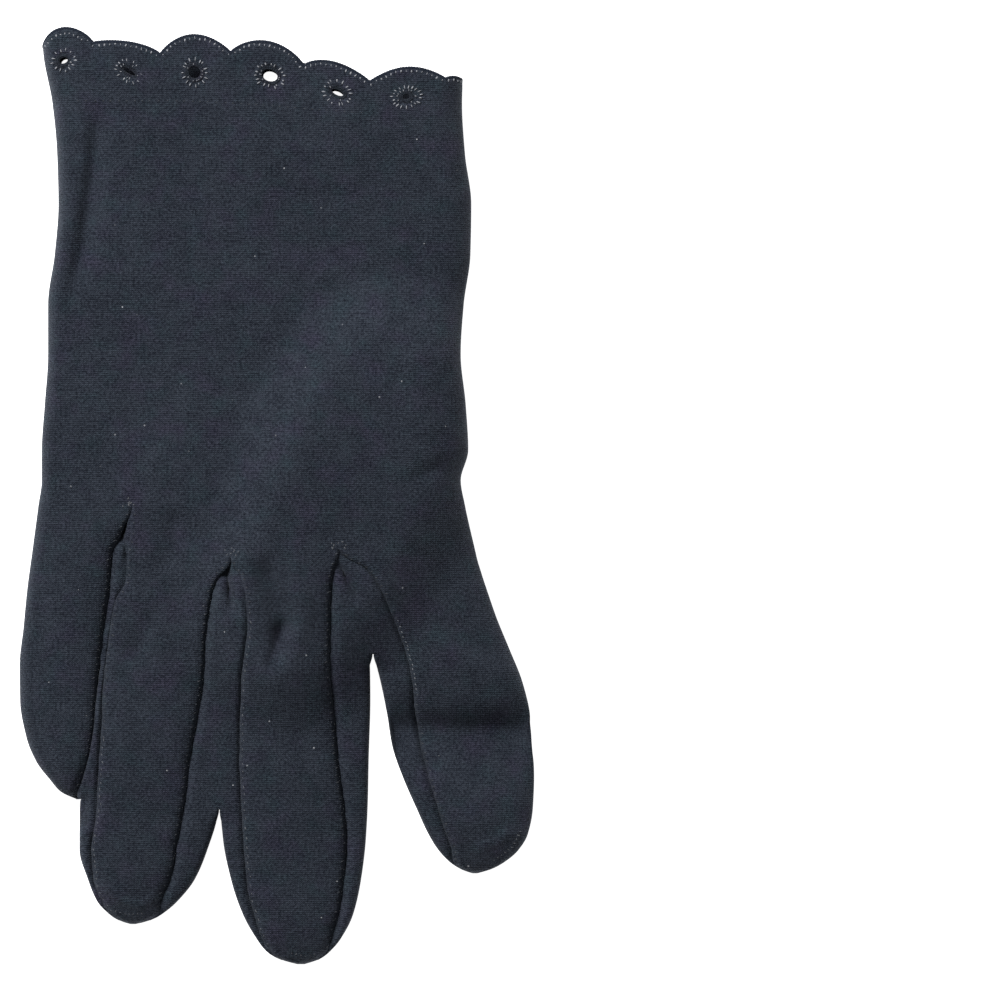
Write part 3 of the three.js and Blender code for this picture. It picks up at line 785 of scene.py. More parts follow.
@dataclass(frozen=True)
class SeamLook:
    """How a back strip's edge turns down into its seam, on one side of a finger."""

    drop: float
    width: float
    valley: float
    ridge: float
    ridge_at: float
    pucker: float
    under: float
    shelf: float
    shelf_rise: float
    ridge_half: float = 0.55 * MM
    ridge_least: float = 0.8
    pucker_reach: float = 1.6 * MM
    valley_share: float = 0.5

    def fall(self, gap: float, wave: float) -> float:
        """How far the edge has turned down.

        Args:
            gap: the distance in from the edge.
            wave: the thread's pull there, about -1 to 1.

        Returns:
            The drop, which is negative where the edge swells.
        """
        s = clamp(gap / self.width, 0.0, 1.0)
        turn = self.drop * (1 - math.sqrt(1 - (1 - s) ** 2))
        hollow = self.valley * (1 - ease(self.valley_share * gap / self.width))
        bulge = math.exp(-(((gap - self.ridge_at) / self.ridge_half) ** 2))
        swell = self.ridge * bulge * (self.ridge_least + wave)
        return turn + hollow - swell + self.pucker * wave * math.exp(-gap / self.pucker_reach)


SEAM_LOOKS = {
    Side.LEFT: SeamLook(
        drop=0.45 * MM,
        width=1.6 * MM,
        valley=0.3 * MM,
        ridge=0.32 * MM,
        ridge_at=1.35 * MM,
        pucker=0.4 * MM,
        under=0.62 * MM,
        shelf=0.15 * MM,
        shelf_rise=1.5 * MM,
    ),
    Side.RIGHT: SeamLook(
        drop=0.95 * MM,
        width=2.0 * MM,
        valley=0.4 * MM,
        ridge=0.2 * MM,
        ridge_at=1.8 * MM,
        pucker=0.34 * MM,
        under=0.66 * MM,
        shelf=0.3 * MM,
        shelf_rise=2.2 * MM,
    ),
}


@dataclass(frozen=True)
class StripRow:
    """One row across a finger's strip: its height, its edges, and how far each slit has opened."""

    finger: Finger
    face: Face
    y: float
    left: float
    right: float
    open_left: float
    open_right: float


@dataclass
class ClothShape:
    """Where the middle of the glove's cloth lies, folds and seams included."""

    plan: Plan = PLAN
    noise_size: float = 26 * MM
    noise_rise: float = 0.3 * MM
    fine_size: float = 7 * MM
    fine_rise: float = 0.09 * MM
    pucker_pitch: float = 1.15 * MM
    wander: tuple[tuple[float, float], ...] = ((2.4 * MM, 0.14 * MM), (10 * MM, 0.2 * MM))
    opening: float = 10 * MM
    seam_zone: float = 6 * MM
    pucker_depth: float = 3 * MM
    pucker_gain: float = 1.4

    def row(self, finger: Finger, face: Face, y: float) -> StripRow:
        """Work out a strip's edges at a height.

        Args:
            finger: the finger.
            face: back or palm.
            y: the height.

        Returns:
            The row.
        """
        opened = {side: self.slit_open(finger.crotch(side), side, y) for side in Side}
        edges = {}
        for side in Side:
            free = opened[side] * (1 - self.plan.tip_share(finger, y)) if face is Face.BACK else 0.0
            edge = self.plan.strip_edge(finger, side, face, y)
            outline = self.plan.outline(finger, side, y)
            moved = edge + free * self._wandering(finger, side, y)
            edges[side] = edge if (moved - outline) * side.value < 0 and free > 0 else moved
        return StripRow(
            finger, face, y, edges[Side.LEFT], edges[Side.RIGHT], opened[Side.LEFT], opened[Side.RIGHT]
        )

    def _wandering(self, finger: Finger, side: Side, y: float) -> float:
        """How far the hand-led seam strays from its line."""
        start = len(finger.name) * 3.1 + side.value * 1.7
        return sum(reach * noise.noise(Vector((start, y / size, 0.6))) for size, reach in self.wander)

    def slit_open(self, crotch: Crotch | None, side: Side, y: float) -> float:
        """How far a finger's seam has opened at a height: 0 above its top and at the glove's own edge.

        Args:
            crotch: the slit, or nothing at the glove's own edge.
            side: which side of the finger.
            y: the height.

        Returns:
            The share, from 0 to 1.
        """
        if crotch is None:
            return 0.0
        length = crotch.fade if side is Side.LEFT else self.opening
        return ease((self.plan.crotch_up(crotch) - y) / length)

    def relief(self, x: float, y: float) -> float:
        """The folds and the soft unevenness of the back.

        Args:
            x: the place across.
            y: the height.

        Returns:
            How far the cloth rises there.
        """
        wide = noise.noise(Vector((x / self.noise_size, y / self.noise_size, 3.7)))
        fine = noise.noise(Vector((x / self.fine_size, y / self.fine_size, 11.3)))
        return self.noise_rise * wide + self.fine_rise * fine + sum(fold.height(x, y) for fold in FOLDS)

    def dip(self, gap: float, opened: float, side: Side, y: float) -> float:
        """How far a strip's edge turns down into its seam, with the puckers that the thread draws.

        Args:
            gap: the distance in from the edge.
            opened: how far the slit has opened.
            side: which edge of the strip it is.
            y: the height.

        Returns:
            The drop.
        """
        if opened <= 0 or gap > self.seam_zone:
            return 0.0
        wave = noise.noise(Vector((side.value * 2.3, y / self.pucker_pitch, gap / self.pucker_depth)))
        return opened * SEAM_LOOKS[side].fall(gap, self.pucker_gain * wave)

    def point(self, row: StripRow, share: float, turn: float | None = None) -> Vector:
        """A point on the middle of the trank's wall.

        Args:
            row: the row it is in.
            share: its share across the strip.
            turn: the angle round the glove's own edge in degrees, 90 where it leaves the face.

        Returns:
            The point, in the plan's own place.
        """
        plan, finger, y = self.plan, row.finger, row.y
        x = mix(row.left, row.right, share)
        back = row.face is Face.BACK
        level = plan.back_height(finger, share, x, y) if back else plan.palm_height(finger, y)
        flat = level
        if back:
            flat += self.relief(x, y) * (1 - plan.tip_share(finger, y))
            flat -= self.dip(x - row.left, row.open_left, Side.LEFT, y)
            flat -= self.dip(row.right - x, row.open_right, Side.RIGHT, y)
        if turn is None:
            return Vector((*plan.to_scallops(x, y), flat + plan.lift(x, y)))
        side = Side.LEFT if finger.before is None else Side.RIGHT
        outline = plan.outline(finger, side, y)
        middle = (plan.back_height(finger, share, x, y) + plan.palm_height(finger, y)) / 2
        angle = math.radians(turn)
        reach = plan.rounding(finger, y)
        rounded = outline + side.value * reach * (1 - math.cos(angle))
        z = middle + (flat - middle) * math.sin(angle)
        if turn == 0 and side is Side.LEFT:
            z += row.face.value * plan.clearance / 2
        return Vector((*plan.to_scallops(rounded, y), z + plan.lift(rounded, y)))

    def back_at(self, x: float, y: float) -> float:
        """The height of the middle of the back's cloth at a place, off the rounded edges.

        Args:
            x: the place across.
            y: the height up the hand.

        Returns:
            The height over the surface.
        """
        finger = self.finger_at(x, y)
        row = self.row(finger, Face.BACK, y)
        share = clamp((x - row.left) / max(row.right - row.left, 1e-6), 0.0, 1.0)
        return self.point(row, share).z

    def finger_at(self, x: float, y: float) -> Finger:
        """The finger in whose strip a place lies.

        Args:
            x: the place across.
            y: the height.

        Returns:
            The finger.
        """
        for finger in FINGERS:
            if finger.after is None or x < self.plan.strip_edge(finger, Side.RIGHT, Face.BACK, y):
                return finger
        return FINGERS[-1]


SHAPE = ClothShape()


def frame_shift() -> Vector:
    """Where the plan's own origin is in the frame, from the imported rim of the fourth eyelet.

    Returns:
        The step from the plan's place to the frame's.
    """
    low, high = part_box("eyelet_back_4")
    eyelet = EYELETS[3]
    here = Vector((eyelet.across * PLAN.hand_width, eyelet.up * PLAN.hand_length, 0))
    middle = (Vector(low) + Vector(high)) / 2
    return Vector((middle.x - here.x, middle.y - here.y, 0))


SHIFT = frame_shift()


class Mesher:
    """A mesh under way: mapped grids and small stitches, with a knit UV map in millimetres."""

    def __init__(self) -> None:
        """Start an empty mesh."""
        self.bm = bmesh.new()
        self.uv = self.bm.loops.layers.uv.new(UV_NAME)

    def grid(self, columns: int, rows: int, place: Callable[[int, int], Spot]) -> None:
        """Add a grid whose vertices are placed one by one on a surface.

        Args:
            columns: the number of faces across.
            rows: the number of faces along.
            place: gives a column's and row's point in the plan's own place, and its place on the cloth.
        """
        made = bmesh.ops.create_grid(self.bm, x_segments=columns, y_segments=rows, size=1.0)["verts"]
        spots: dict[bmesh.types.BMVert, tuple[float, float]] = {}
        for vert in made:
            i = round((vert.co.x + 1) / 2 * columns)
            j = round((vert.co.y + 1) / 2 * rows)
            point, spots[vert] = place(i, j)
            vert.co = point + SHIFT
        for face in {face for vert in made for face in vert.link_faces}:
            for loop in face.loops:
                loop[self.uv].uv = spots[loop.vert]

    def lay(self, rows: Sequence[Sequence[Spot]]) -> None:
        """Add a grid through rows of points that are already known.

        Args:
            rows: the points with their places on the cloth, row by row.
        """
        self.grid(len(rows[0]) - 1, len(rows) - 1, lambda i, j: rows[j][i])

    def bead(self, centre: Vector, along: Vector, up: Vector, size: Size) -> None:
        """Add one stitch: a small long bead.

        Args:
            centre: its middle, in the plan's own place.
            along: the way it runs.
            up: the way it stands off the cloth.
            size: its length, width and height.
        """
        x = along.normalized()
        y = up.cross(x).normalized()
        z = x.cross(y)
        turned = Matrix((x, y, z)).transposed().to_4x4()
        scaled = Matrix.Diagonal((size[0] / 2, size[1] / 2, size[2] / 2, 1))
        place = Matrix.Translation(centre + SHIFT) @ turned @ scaled
        rings, turns = BEAD_FACES
        bmesh.ops.create_uvsphere(self.bm, u_segments=turns, v_segments=rings, radius=1.0, matrix=place)

    def weld(self, distance: float = 0.01 * MM) -> None:
        """Join vertices that lie together."""
        bmesh.ops.remove_doubles(self.bm, verts=self.bm.verts[:], dist=distance)

    def piece(self, name: str, finish: bpy.types.Material) -> Piece:
        """Turn the mesh into an object at the origin.

        Args:
            name: the object's name.
            finish: its material.

        Returns:
            The object.
        """
        mesh = bpy.data.meshes.new(name)
        self.bm.to_mesh(mesh)
        self.bm.free()
        mesh.shade_smooth()
        mesh.materials.append(finish)
        made = bpy.data.objects.new(name, mesh)
        bpy.context.scene.collection.objects.link(made)
        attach(made, BODY)
        return made


def thicken(piece: Piece, wall: float) -> None:
    """Give a sheet its wall on both sides of its middle.

    Args:
        piece: the sheet.
        wall: the wall's thickness.
    """
    solid = piece.modifiers.new("wall", "SOLIDIFY")
    solid.thickness = wall
    solid.offset = 0
    solid.use_rim = True


class Nodes:
    """A small helper that wires a material's nodes."""

    def __init__(self, name: str) -> None:
        """Start a material with a plain shader and its output.

        Args:
            name: the material's name.
        """
        self.material = bpy.data.materials.new(name)
        self.material.use_nodes = True
        self.tree = self.material.node_tree
        self.tree.nodes.clear()
        self.shader = self.tree.nodes.new("ShaderNodeBsdfPrincipled")
        output = self.tree.nodes.new("ShaderNodeOutputMaterial")
        self.tree.links.new(self.shader.outputs["BSDF"], output.inputs["Surface"])

    def add(self, kind: str, **settings: object) -> bpy.types.Node:
        """Add a node and set its properties.

        Args:
            kind: the node's type.
            **settings: its properties by name.

        Returns:
            The node.
        """
        node = self.tree.nodes.new(kind)
        for key, value in settings.items():
            setattr(node, key, value)
        return node

    def feed(self, source: object, target: Socket) -> None:
        """Link a socket to another, or set a plain value on it.

        Args:
            source: a socket or a value.
            target: the socket that takes it.
        """
        if isinstance(source, Socket):
            self.tree.links.new(source, target)
        else:
            target.default_value = source

    def maths(self, operation: str, *inputs: object) -> Socket:
        """Add one step of arithmetic.

        Args:
            operation: its name.
            *inputs: sockets or numbers.

        Returns:
            The result's socket.
        """
        node = self.add("ShaderNodeMath", operation=operation)
        for index, value in enumerate(inputs):
            self.feed(value, node.inputs[index])
        return node.outputs[0]

    def noise(self, place: Socket, scale: float, detail: float) -> Socket:
        """Add a noise pattern.

        Args:
            place: the coordinates.
            scale: how many grains to a unit.
            detail: how many finer layers.

        Returns:
            Its value's socket, about 0 to 1.
        """
        node = self.add("ShaderNodeTexNoise")
        self.feed(place, node.inputs["Vector"])
        node.inputs["Scale"].default_value = scale
        node.inputs["Detail"].default_value = detail
        return node.outputs["Fac"]

    def swing(self, pattern: object, gain: float) -> Socket:
        """Turn a pattern of about 0 to 1 into one that swings about 0, times a gain."""
        return self.maths("MULTIPLY_ADD", pattern, gain, -0.5 * gain)

    def blend(self, share: object, a: object, b: object, way: str = "MIX") -> Socket:
        """Mix two colours.

        Args:
            share: how much of the second, held to 0 to 1.
            a: the first colour.
            b: the second colour.
            way: how they are mixed.

        Returns:
            The colour's socket.
        """
        node = self.add("ShaderNodeMix", data_type="RGBA", blend_type=way, clamp_factor=True)
        self.feed(share, node.inputs["Factor"])
        colours = [socket for socket in node.inputs if socket.type == "RGBA"]
        self.feed(a, colours[0])
        self.feed(b, colours[1])
        return next(socket for socket in node.outputs if socket.type == "RGBA")

    def bump(self, height: Socket, depth: float, strength: float) -> None:
        """Raise the surface by a pattern.

        Args:
            height: the pattern.
            depth: how deep it is, in metres.
            strength: how strongly it shows.
        """
        node = self.add("ShaderNodeBump")
        node.inputs["Strength"].default_value = strength
        node.inputs["Distance"].default_value = depth
        self.feed(height, node.inputs["Height"])
        self.feed(node.outputs["Normal"], self.shader.inputs["Normal"])


@dataclass(frozen=True)
class KnitCloth:
    """The finish of the fine warp-knitted cloth, its courses and wales in millimetres of the cloth.

    A grain is how many to a millimetre a pattern has, and a gain is how strongly it shows.
    """

    name: str
    dark: Colour
    light: Colour
    plum: Colour = (1.12, 0.9, 1.06)
    teal: Colour = (0.88, 1.06, 1.0)
    lint: Colour = (0.42, 0.43, 0.45)
    course: float = 0.46
    wale: float = 0.52
    roughness: float = 0.9
    mean_tone: float = 0.44
    broad_gain: float = 0.3
    blotch_gain: float = 0.5
    grain_gain: float = 1.5
    fibre_gain: float = 1.3
    knit_shade_gain: float = 0.38
    hue_gain: float = 5.0
    broad_grain: float = 0.045
    blotch_grain: float = 0.28
    plum_grain: float = 0.13
    teal_grain: float = 0.19
    drift_grain: float = 0.09
    grain: float = 1.75
    fibre: float = 4.2
    gloss_swing: float = 0.16
    relief: float = 0.13 * MM
    relief_strength: float = 0.9
    slant: float = 0.42
    drift_gain: float = 1.6
    hollow: float = 0.55
    fleck_grain: float = 0.62
    fleck_size: float = 0.11
    fleck_rarity: float = 0.968
    specular: float = 0.18
    sheen: float = 0.08
    sheen_tint: Colour = (0.6, 0.68, 0.8)

    def build(self) -> bpy.types.Material:
        """Make the material.

        Returns:
            The material.
        """
        n = Nodes(self.name)
        place = n.add("ShaderNodeUVMap", uv_map=UV_NAME).outputs["UV"]
        split = n.add("ShaderNodeSeparateXYZ")
        n.feed(place, split.inputs[0])
        u, v = split.outputs[0], split.outputs[1]
        knit = self._knit(n, u, v, n.noise(place, self.drift_grain, 2))
        grain = n.noise(place, self.grain, 1)
        fibre = n.noise(place, self.fibre, 1)
        broad = n.noise(place, self.broad_grain, 2)
        tone = n.maths("MULTIPLY_ADD", broad, self.broad_gain, self.mean_tone - 0.5 * self.broad_gain)
        tone = n.maths("ADD", tone, n.swing(n.noise(place, self.blotch_grain, 2), self.blotch_gain))
        tone = n.maths("ADD", tone, n.swing(grain, self.grain_gain))
        tone = n.maths("ADD", tone, n.swing(fibre, self.fibre_gain))
        # painted shade: the knit loops' height darkens the colour in their hollows
        tone = n.maths("ADD", tone, n.swing(knit, self.knit_shade_gain))
        shade = n.blend(tone, (*self.dark, 1), (*self.light, 1))
        plum = n.swing(n.noise(place, self.plum_grain, 3), self.hue_gain)
        shade = n.blend(plum, shade, (*self.plum, 1), "MULTIPLY")
        teal = n.swing(n.noise(place, self.teal_grain, 3), -self.hue_gain)
        shade = n.blend(teal, shade, (*self.teal, 1), "MULTIPLY")
        n.feed(n.blend(self._flecks(n, place), shade, (*self.lint, 1)), n.shader.inputs["Base Color"])
        rough = n.maths("MULTIPLY_ADD", grain, self.gloss_swing, self.roughness - 0.5 * self.gloss_swing)
        n.feed(rough, n.shader.inputs["Roughness"])
        n.shader.inputs["Specular IOR Level"].default_value = self.specular
        n.shader.inputs["Sheen Weight"].default_value = self.sheen
        n.shader.inputs["Sheen Roughness"].default_value = 0.5
        n.shader.inputs["Sheen Tint"].default_value = (*self.sheen_tint, 1)
        height = n.maths("MULTIPLY_ADD", grain, 0.8, n.maths("MULTIPLY_ADD", fibre, 0.5, knit))
        n.bump(height, self.relief, self.relief_strength)
        return n.material

    def _knit(self, n: Nodes, u: object, v: object, drift: object) -> Socket:
        """The rows of small V-shaped loops, whose height gives the bump and the painted shade in their
        hollows.

        Args:
            n: the material under way.
            u: the place across, in millimetres.
            v: the place along, in millimetres.
            drift: a soft pattern that bends the rows.

        Returns:
            The loops' height, from 0 to 1.
        """
        across = n.maths("FRACT", n.maths("MULTIPLY", u, 1 / self.wale))
        leg = n.maths("ABSOLUTE", n.maths("MULTIPLY_ADD", across, 2.0, -1.0))
        turns = n.maths("MULTIPLY_ADD", v, 1 / self.course, n.maths("MULTIPLY", leg, self.slant))
        wander = n.maths("MULTIPLY_ADD", drift, self.drift_gain, turns)
        wave = n.maths("SINE", n.maths("MULTIPLY", wander, 2 * math.pi))
        rounded = n.maths("SUBTRACT", 1.0, n.maths("MULTIPLY", n.maths("POWER", leg, 3.0), self.hollow))
        return n.maths("MULTIPLY", n.maths("MULTIPLY_ADD", wave, 0.5, 0.5), rounded)

    def _flecks(self, n: Nodes, place: object) -> Socket:
        """Sparse pale specks of lint.

        Args:
            n: the material under way.
            place: the coordinates.

        Returns:
            How much of a speck there is.
        """
        cells = n.add("ShaderNodeTexVoronoi")
        n.feed(place, cells.inputs["Vector"])
        cells.inputs["Scale"].default_value = self.fleck_grain
        near = n.maths("LESS_THAN", cells.outputs["Distance"], self.fleck_size)
        pick = n.add("ShaderNodeSeparateXYZ")
        n.feed(cells.outputs["Color"], pick.inputs[0])
        chosen = n.maths("GREATER_THAN", pick.outputs[0], self.fleck_rarity)
        return n.maths("MULTIPLY", near, n.maths("MULTIPLY", chosen, pick.outputs[1]))


@dataclass(frozen=True)
class ThreadFinish:
    """The finish of sewing thread: twisted, a little glossy."""

    name: str
    colour: Colour
    light: Colour
    roughness: float = 0.5
    gloss: float = 0.4
    fibre: float = 2600
    batch: float = 420
    relief: float = 0.05 * MM

    def build(self) -> bpy.types.Material:
        """Make the material.

        Returns:
            The material.
        """
        n = Nodes(self.name)
        place = n.add("ShaderNodeTexCoord").outputs["Object"]
        fibre = n.noise(place, self.fibre, 2)
        batch = n.noise(place, self.batch, 1)
        tone = n.maths("MULTIPLY_ADD", fibre, 0.6, n.maths("MULTIPLY", batch, 0.5))
        n.feed(n.blend(tone, (*self.colour, 1), (*self.light, 1)), n.shader.inputs["Base Color"])
        n.feed(n.maths("MULTIPLY_ADD", fibre, 0.2, self.roughness - 0.1), n.shader.inputs["Roughness"])
        n.shader.inputs["Specular IOR Level"].default_value = self.gloss
        n.shader.inputs["Sheen Weight"].default_value = self.gloss / 3
        n.bump(fibre, self.relief, 0.5)
        return n.material


@dataclass(frozen=True)
class PaleFloor:
    """The finish of the pale surface the glove lies on."""

    name: str = "pale_floor"
    colour: Colour = (0.9, 0.9, 0.9)
    glow: float = 0.95

    def build(self) -> bpy.types.Material:
        """Make the material.

        Returns:
            The material.
        """
        n = Nodes(self.name)
        n.shader.inputs["Base Color"].default_value = (*self.colour, 1)
        n.shader.inputs["Roughness"].default_value = 0.9
        n.shader.inputs["Specular IOR Level"].default_value = 0.0
        n.shader.inputs["Emission Color"].default_value = (1, 1, 1, 1)
        n.shader.inputs["Emission Strength"].default_value = self.glow
        return n.material


def knit(name: str, dark: Colour, light: Colour) -> bpy.types.Material:
    """Make one knitted cloth's material."""
    return KnitCloth(name, dark, light).build()


def thread(name: str, colour: Colour, light: Colour, roughness: float,
           gloss: float = 0.4) -> bpy.types.Material:
    """Make one thread's material."""
    return ThreadFinish(name, colour, light, roughness, gloss).build()


class Finishes:
    """The glove's materials."""

    def __init__(self) -> None:
        """Make each material once."""
        self.cloth = knit("black_knit", (0.0028, 0.0046, 0.0106), (0.0418, 0.0512, 0.0688))
        self.inside = knit("black_knit_inside", (0.003, 0.004, 0.007), (0.028, 0.034, 0.047))
        self.edge = thread("edge_thread", (0.003, 0.0042, 0.0078), (0.02, 0.026, 0.04), 0.9, 0.08)
        # painted glint: the stitch thread is given pale colours that stand in for light glinting on the
        # dark thread
        self.stitch = thread("stitch_thread", (0.09, 0.096, 0.108), (0.34, 0.35, 0.38), 0.55)
        self.seams = {
            Thread.DARK: thread("seam_thread_dark", (0.012, 0.014, 0.019), (0.045, 0.051, 0.062), 0.6),
            # painted glint: the pale and bright seam threads are the dark thread lightened where its
            # stitches catch the light
            Thread.PALE: thread("seam_thread_pale", (0.03, 0.034, 0.041), (0.12, 0.127, 0.142), 0.6),
            Thread.BRIGHT: thread("seam_thread_bright", (0.06, 0.065, 0.074), (0.24, 0.25, 0.27), 0.55),
        }


@dataclass
class Trank:
    """The trank: back and palm in one cloth, folded at the index finger's side and slit for the fingers."""

    finishes: Finishes
    wall: float = 0.8 * MM
    pitch: float = 0.9 * MM
    finger_pitch: float = 0.6 * MM
    tip_pitch: float = 0.4 * MM
    tip_zone: float = 7 * MM
    root_zone: float = 12 * MM
    palm_columns: int = 8
    edge_steps: int = 7
    turn_cloth: float = 2.5
    rim_share: float = 0.5
    hole_reach: float = 4 * MM

    def stations(self, finger: Finger) -> list[float]:
        """The heights of a finger's rows, from its tip to the cuff.

        Args:
            finger: the finger.

        Returns:
            The heights, rising.
        """
        below: list[float] = []
        y = -finger.length
        while y < -0.4 * self.finger_pitch:
            below.append(y)
            y += self.tip_pitch if y < -finger.length + self.tip_zone else self.finger_pitch
        slits = sorted({round(PLAN.crotch_up(crotch), 7) for crotch in CROTCHES})
        levels = slits + [PLAN.hand_length]
        above: list[float] = []
        for low, high in zip(levels, levels[1:]):
            pitch = self.finger_pitch if high < self.root_zone else self.pitch
            count = max(1, round((high - low) / pitch))
            above += [mix(low, high, k / count) for k in range(count)]
        return below + above + [PLAN.hand_length]

    def columns(self, finger: Finger, face: Face) -> list[tuple[float, float | None]]:
        """The shares and edge turns across a finger's part of one face, from left to right.

        Args:
            finger: the finger.
            face: back or palm.

        Returns:
            The share and the turn of each column.
        """
        left, right = (PLAN.strip_edge(finger, side, face, 0) for side in Side)
        count = round((right - left) / self.pitch) if face is Face.BACK else self.palm_columns
        flat: list[tuple[float, float | None]] = [(k / count, None) for k in range(count + 1)]
        steps = self.edge_steps if face is Face.BACK else self.edge_steps // 2
        angles = [90 * k / steps for k in range(steps)]
        if finger.before is None:
            return [(0.0, angle) for angle in angles] + flat
        if finger.after is None:
            return flat + [(1.0, angle) for angle in reversed(angles)]
        return flat

    def build(self) -> Piece:
        """Make the trank.

        Returns:
            The piece.
        """
        mesher = Mesher()
        for finger in FINGERS:
            heights = self.stations(finger)
            for face in Face:
                self._strip(mesher, finger, face, heights)
        mesher.weld()
        for eyelet in EYELETS:
            self.pierce(mesher, eyelet)
        piece = mesher.piece("trank_cloth", self.finishes.cloth)
        thicken(piece, self.wall)
        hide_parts("trank_back", "trank_palm")
        return piece

    def _strip(self, mesher: Mesher, finger: Finger, face: Face, heights: Sequence[float]) -> None:
        """Lay one finger's part of one face.

        Args:
            mesher: the mesh under way.
            finger: the finger.
            face: back or palm.
            heights: the heights of its rows.
        """
        columns = self.columns(finger, face)
        rows = [SHAPE.row(finger, face, y) for y in heights]
        last = len(columns) - 1

        def place(i: int, j: int) -> Spot:
            """Place one vertex, mirrored on the palm so that its faces point down.

            Args:
                i: the column.
                j: the row.

            Returns:
                The point and its place on the cloth.
            """
            share, turn = columns[i if face is Face.BACK else last - i]
            point = SHAPE.point(rows[j], share, turn)
            reach = point.x / MM
            if turn is not None:
                away = -1 if finger.before is None else 1
                reach += (1 - turn / 90) * away * self.turn_cloth
            return point, (face.value * reach + CLOTH_START, point.y / MM)

        mesher.grid(last, len(heights) - 1, place)

    def pierce(self, mesher: Mesher, eyelet: Eyelet) -> None:
        """Open the cloth under an eyelet's rim, through the back and, where it shows, through the palm.

        Args:
            mesher: the mesh under way.
            eyelet: the eyelet.
        """
        centre = Vector((eyelet.across * PLAN.hand_width, eyelet.up * PLAN.hand_length, 0)) + SHIFT
        turn = Matrix.Rotation(-math.radians(eyelet.turn), 3, "Z")
        wide = eyelet.wide * PLAN.eyelet_bore / 2 + self.rim_share * PLAN.eyelet_rim
        tall = eyelet.tall * PLAN.eyelet_bore / 2 + self.rim_share * PLAN.eyelet_rim

        def inside(place: Vector) -> float:
            """How far out a place is, 1 on the hole's edge."""
            flat = turn @ Vector((place.x - centre.x, place.y - centre.y, 0))
            return math.hypot(flat.x / wide, flat.y / tall)

        doomed = []
        for face in mesher.bm.faces:
            middle = face.calc_center_median()
            if abs(middle.x - centre.x) > self.hole_reach or inside(middle) > 1:
                continue
            if face.normal.z > 0 or eyelet.through:
                doomed.append(face)
        rim = {vert for face in doomed for vert in face.verts}
        bmesh.ops.delete(mesher.bm, geom=doomed, context="FACES")
        back = turn.transposed()
        for vert in (vert for vert in rim if vert.is_valid):
            out = inside(vert.co)
            if out > 1e-3:
                flat = turn @ Vector((vert.co.x - centre.x, vert.co.y - centre.y, 0))
                snapped = back @ (flat / out)
                vert.co.x, vert.co.y = centre.x + snapped.x, centre.y + snapped.y


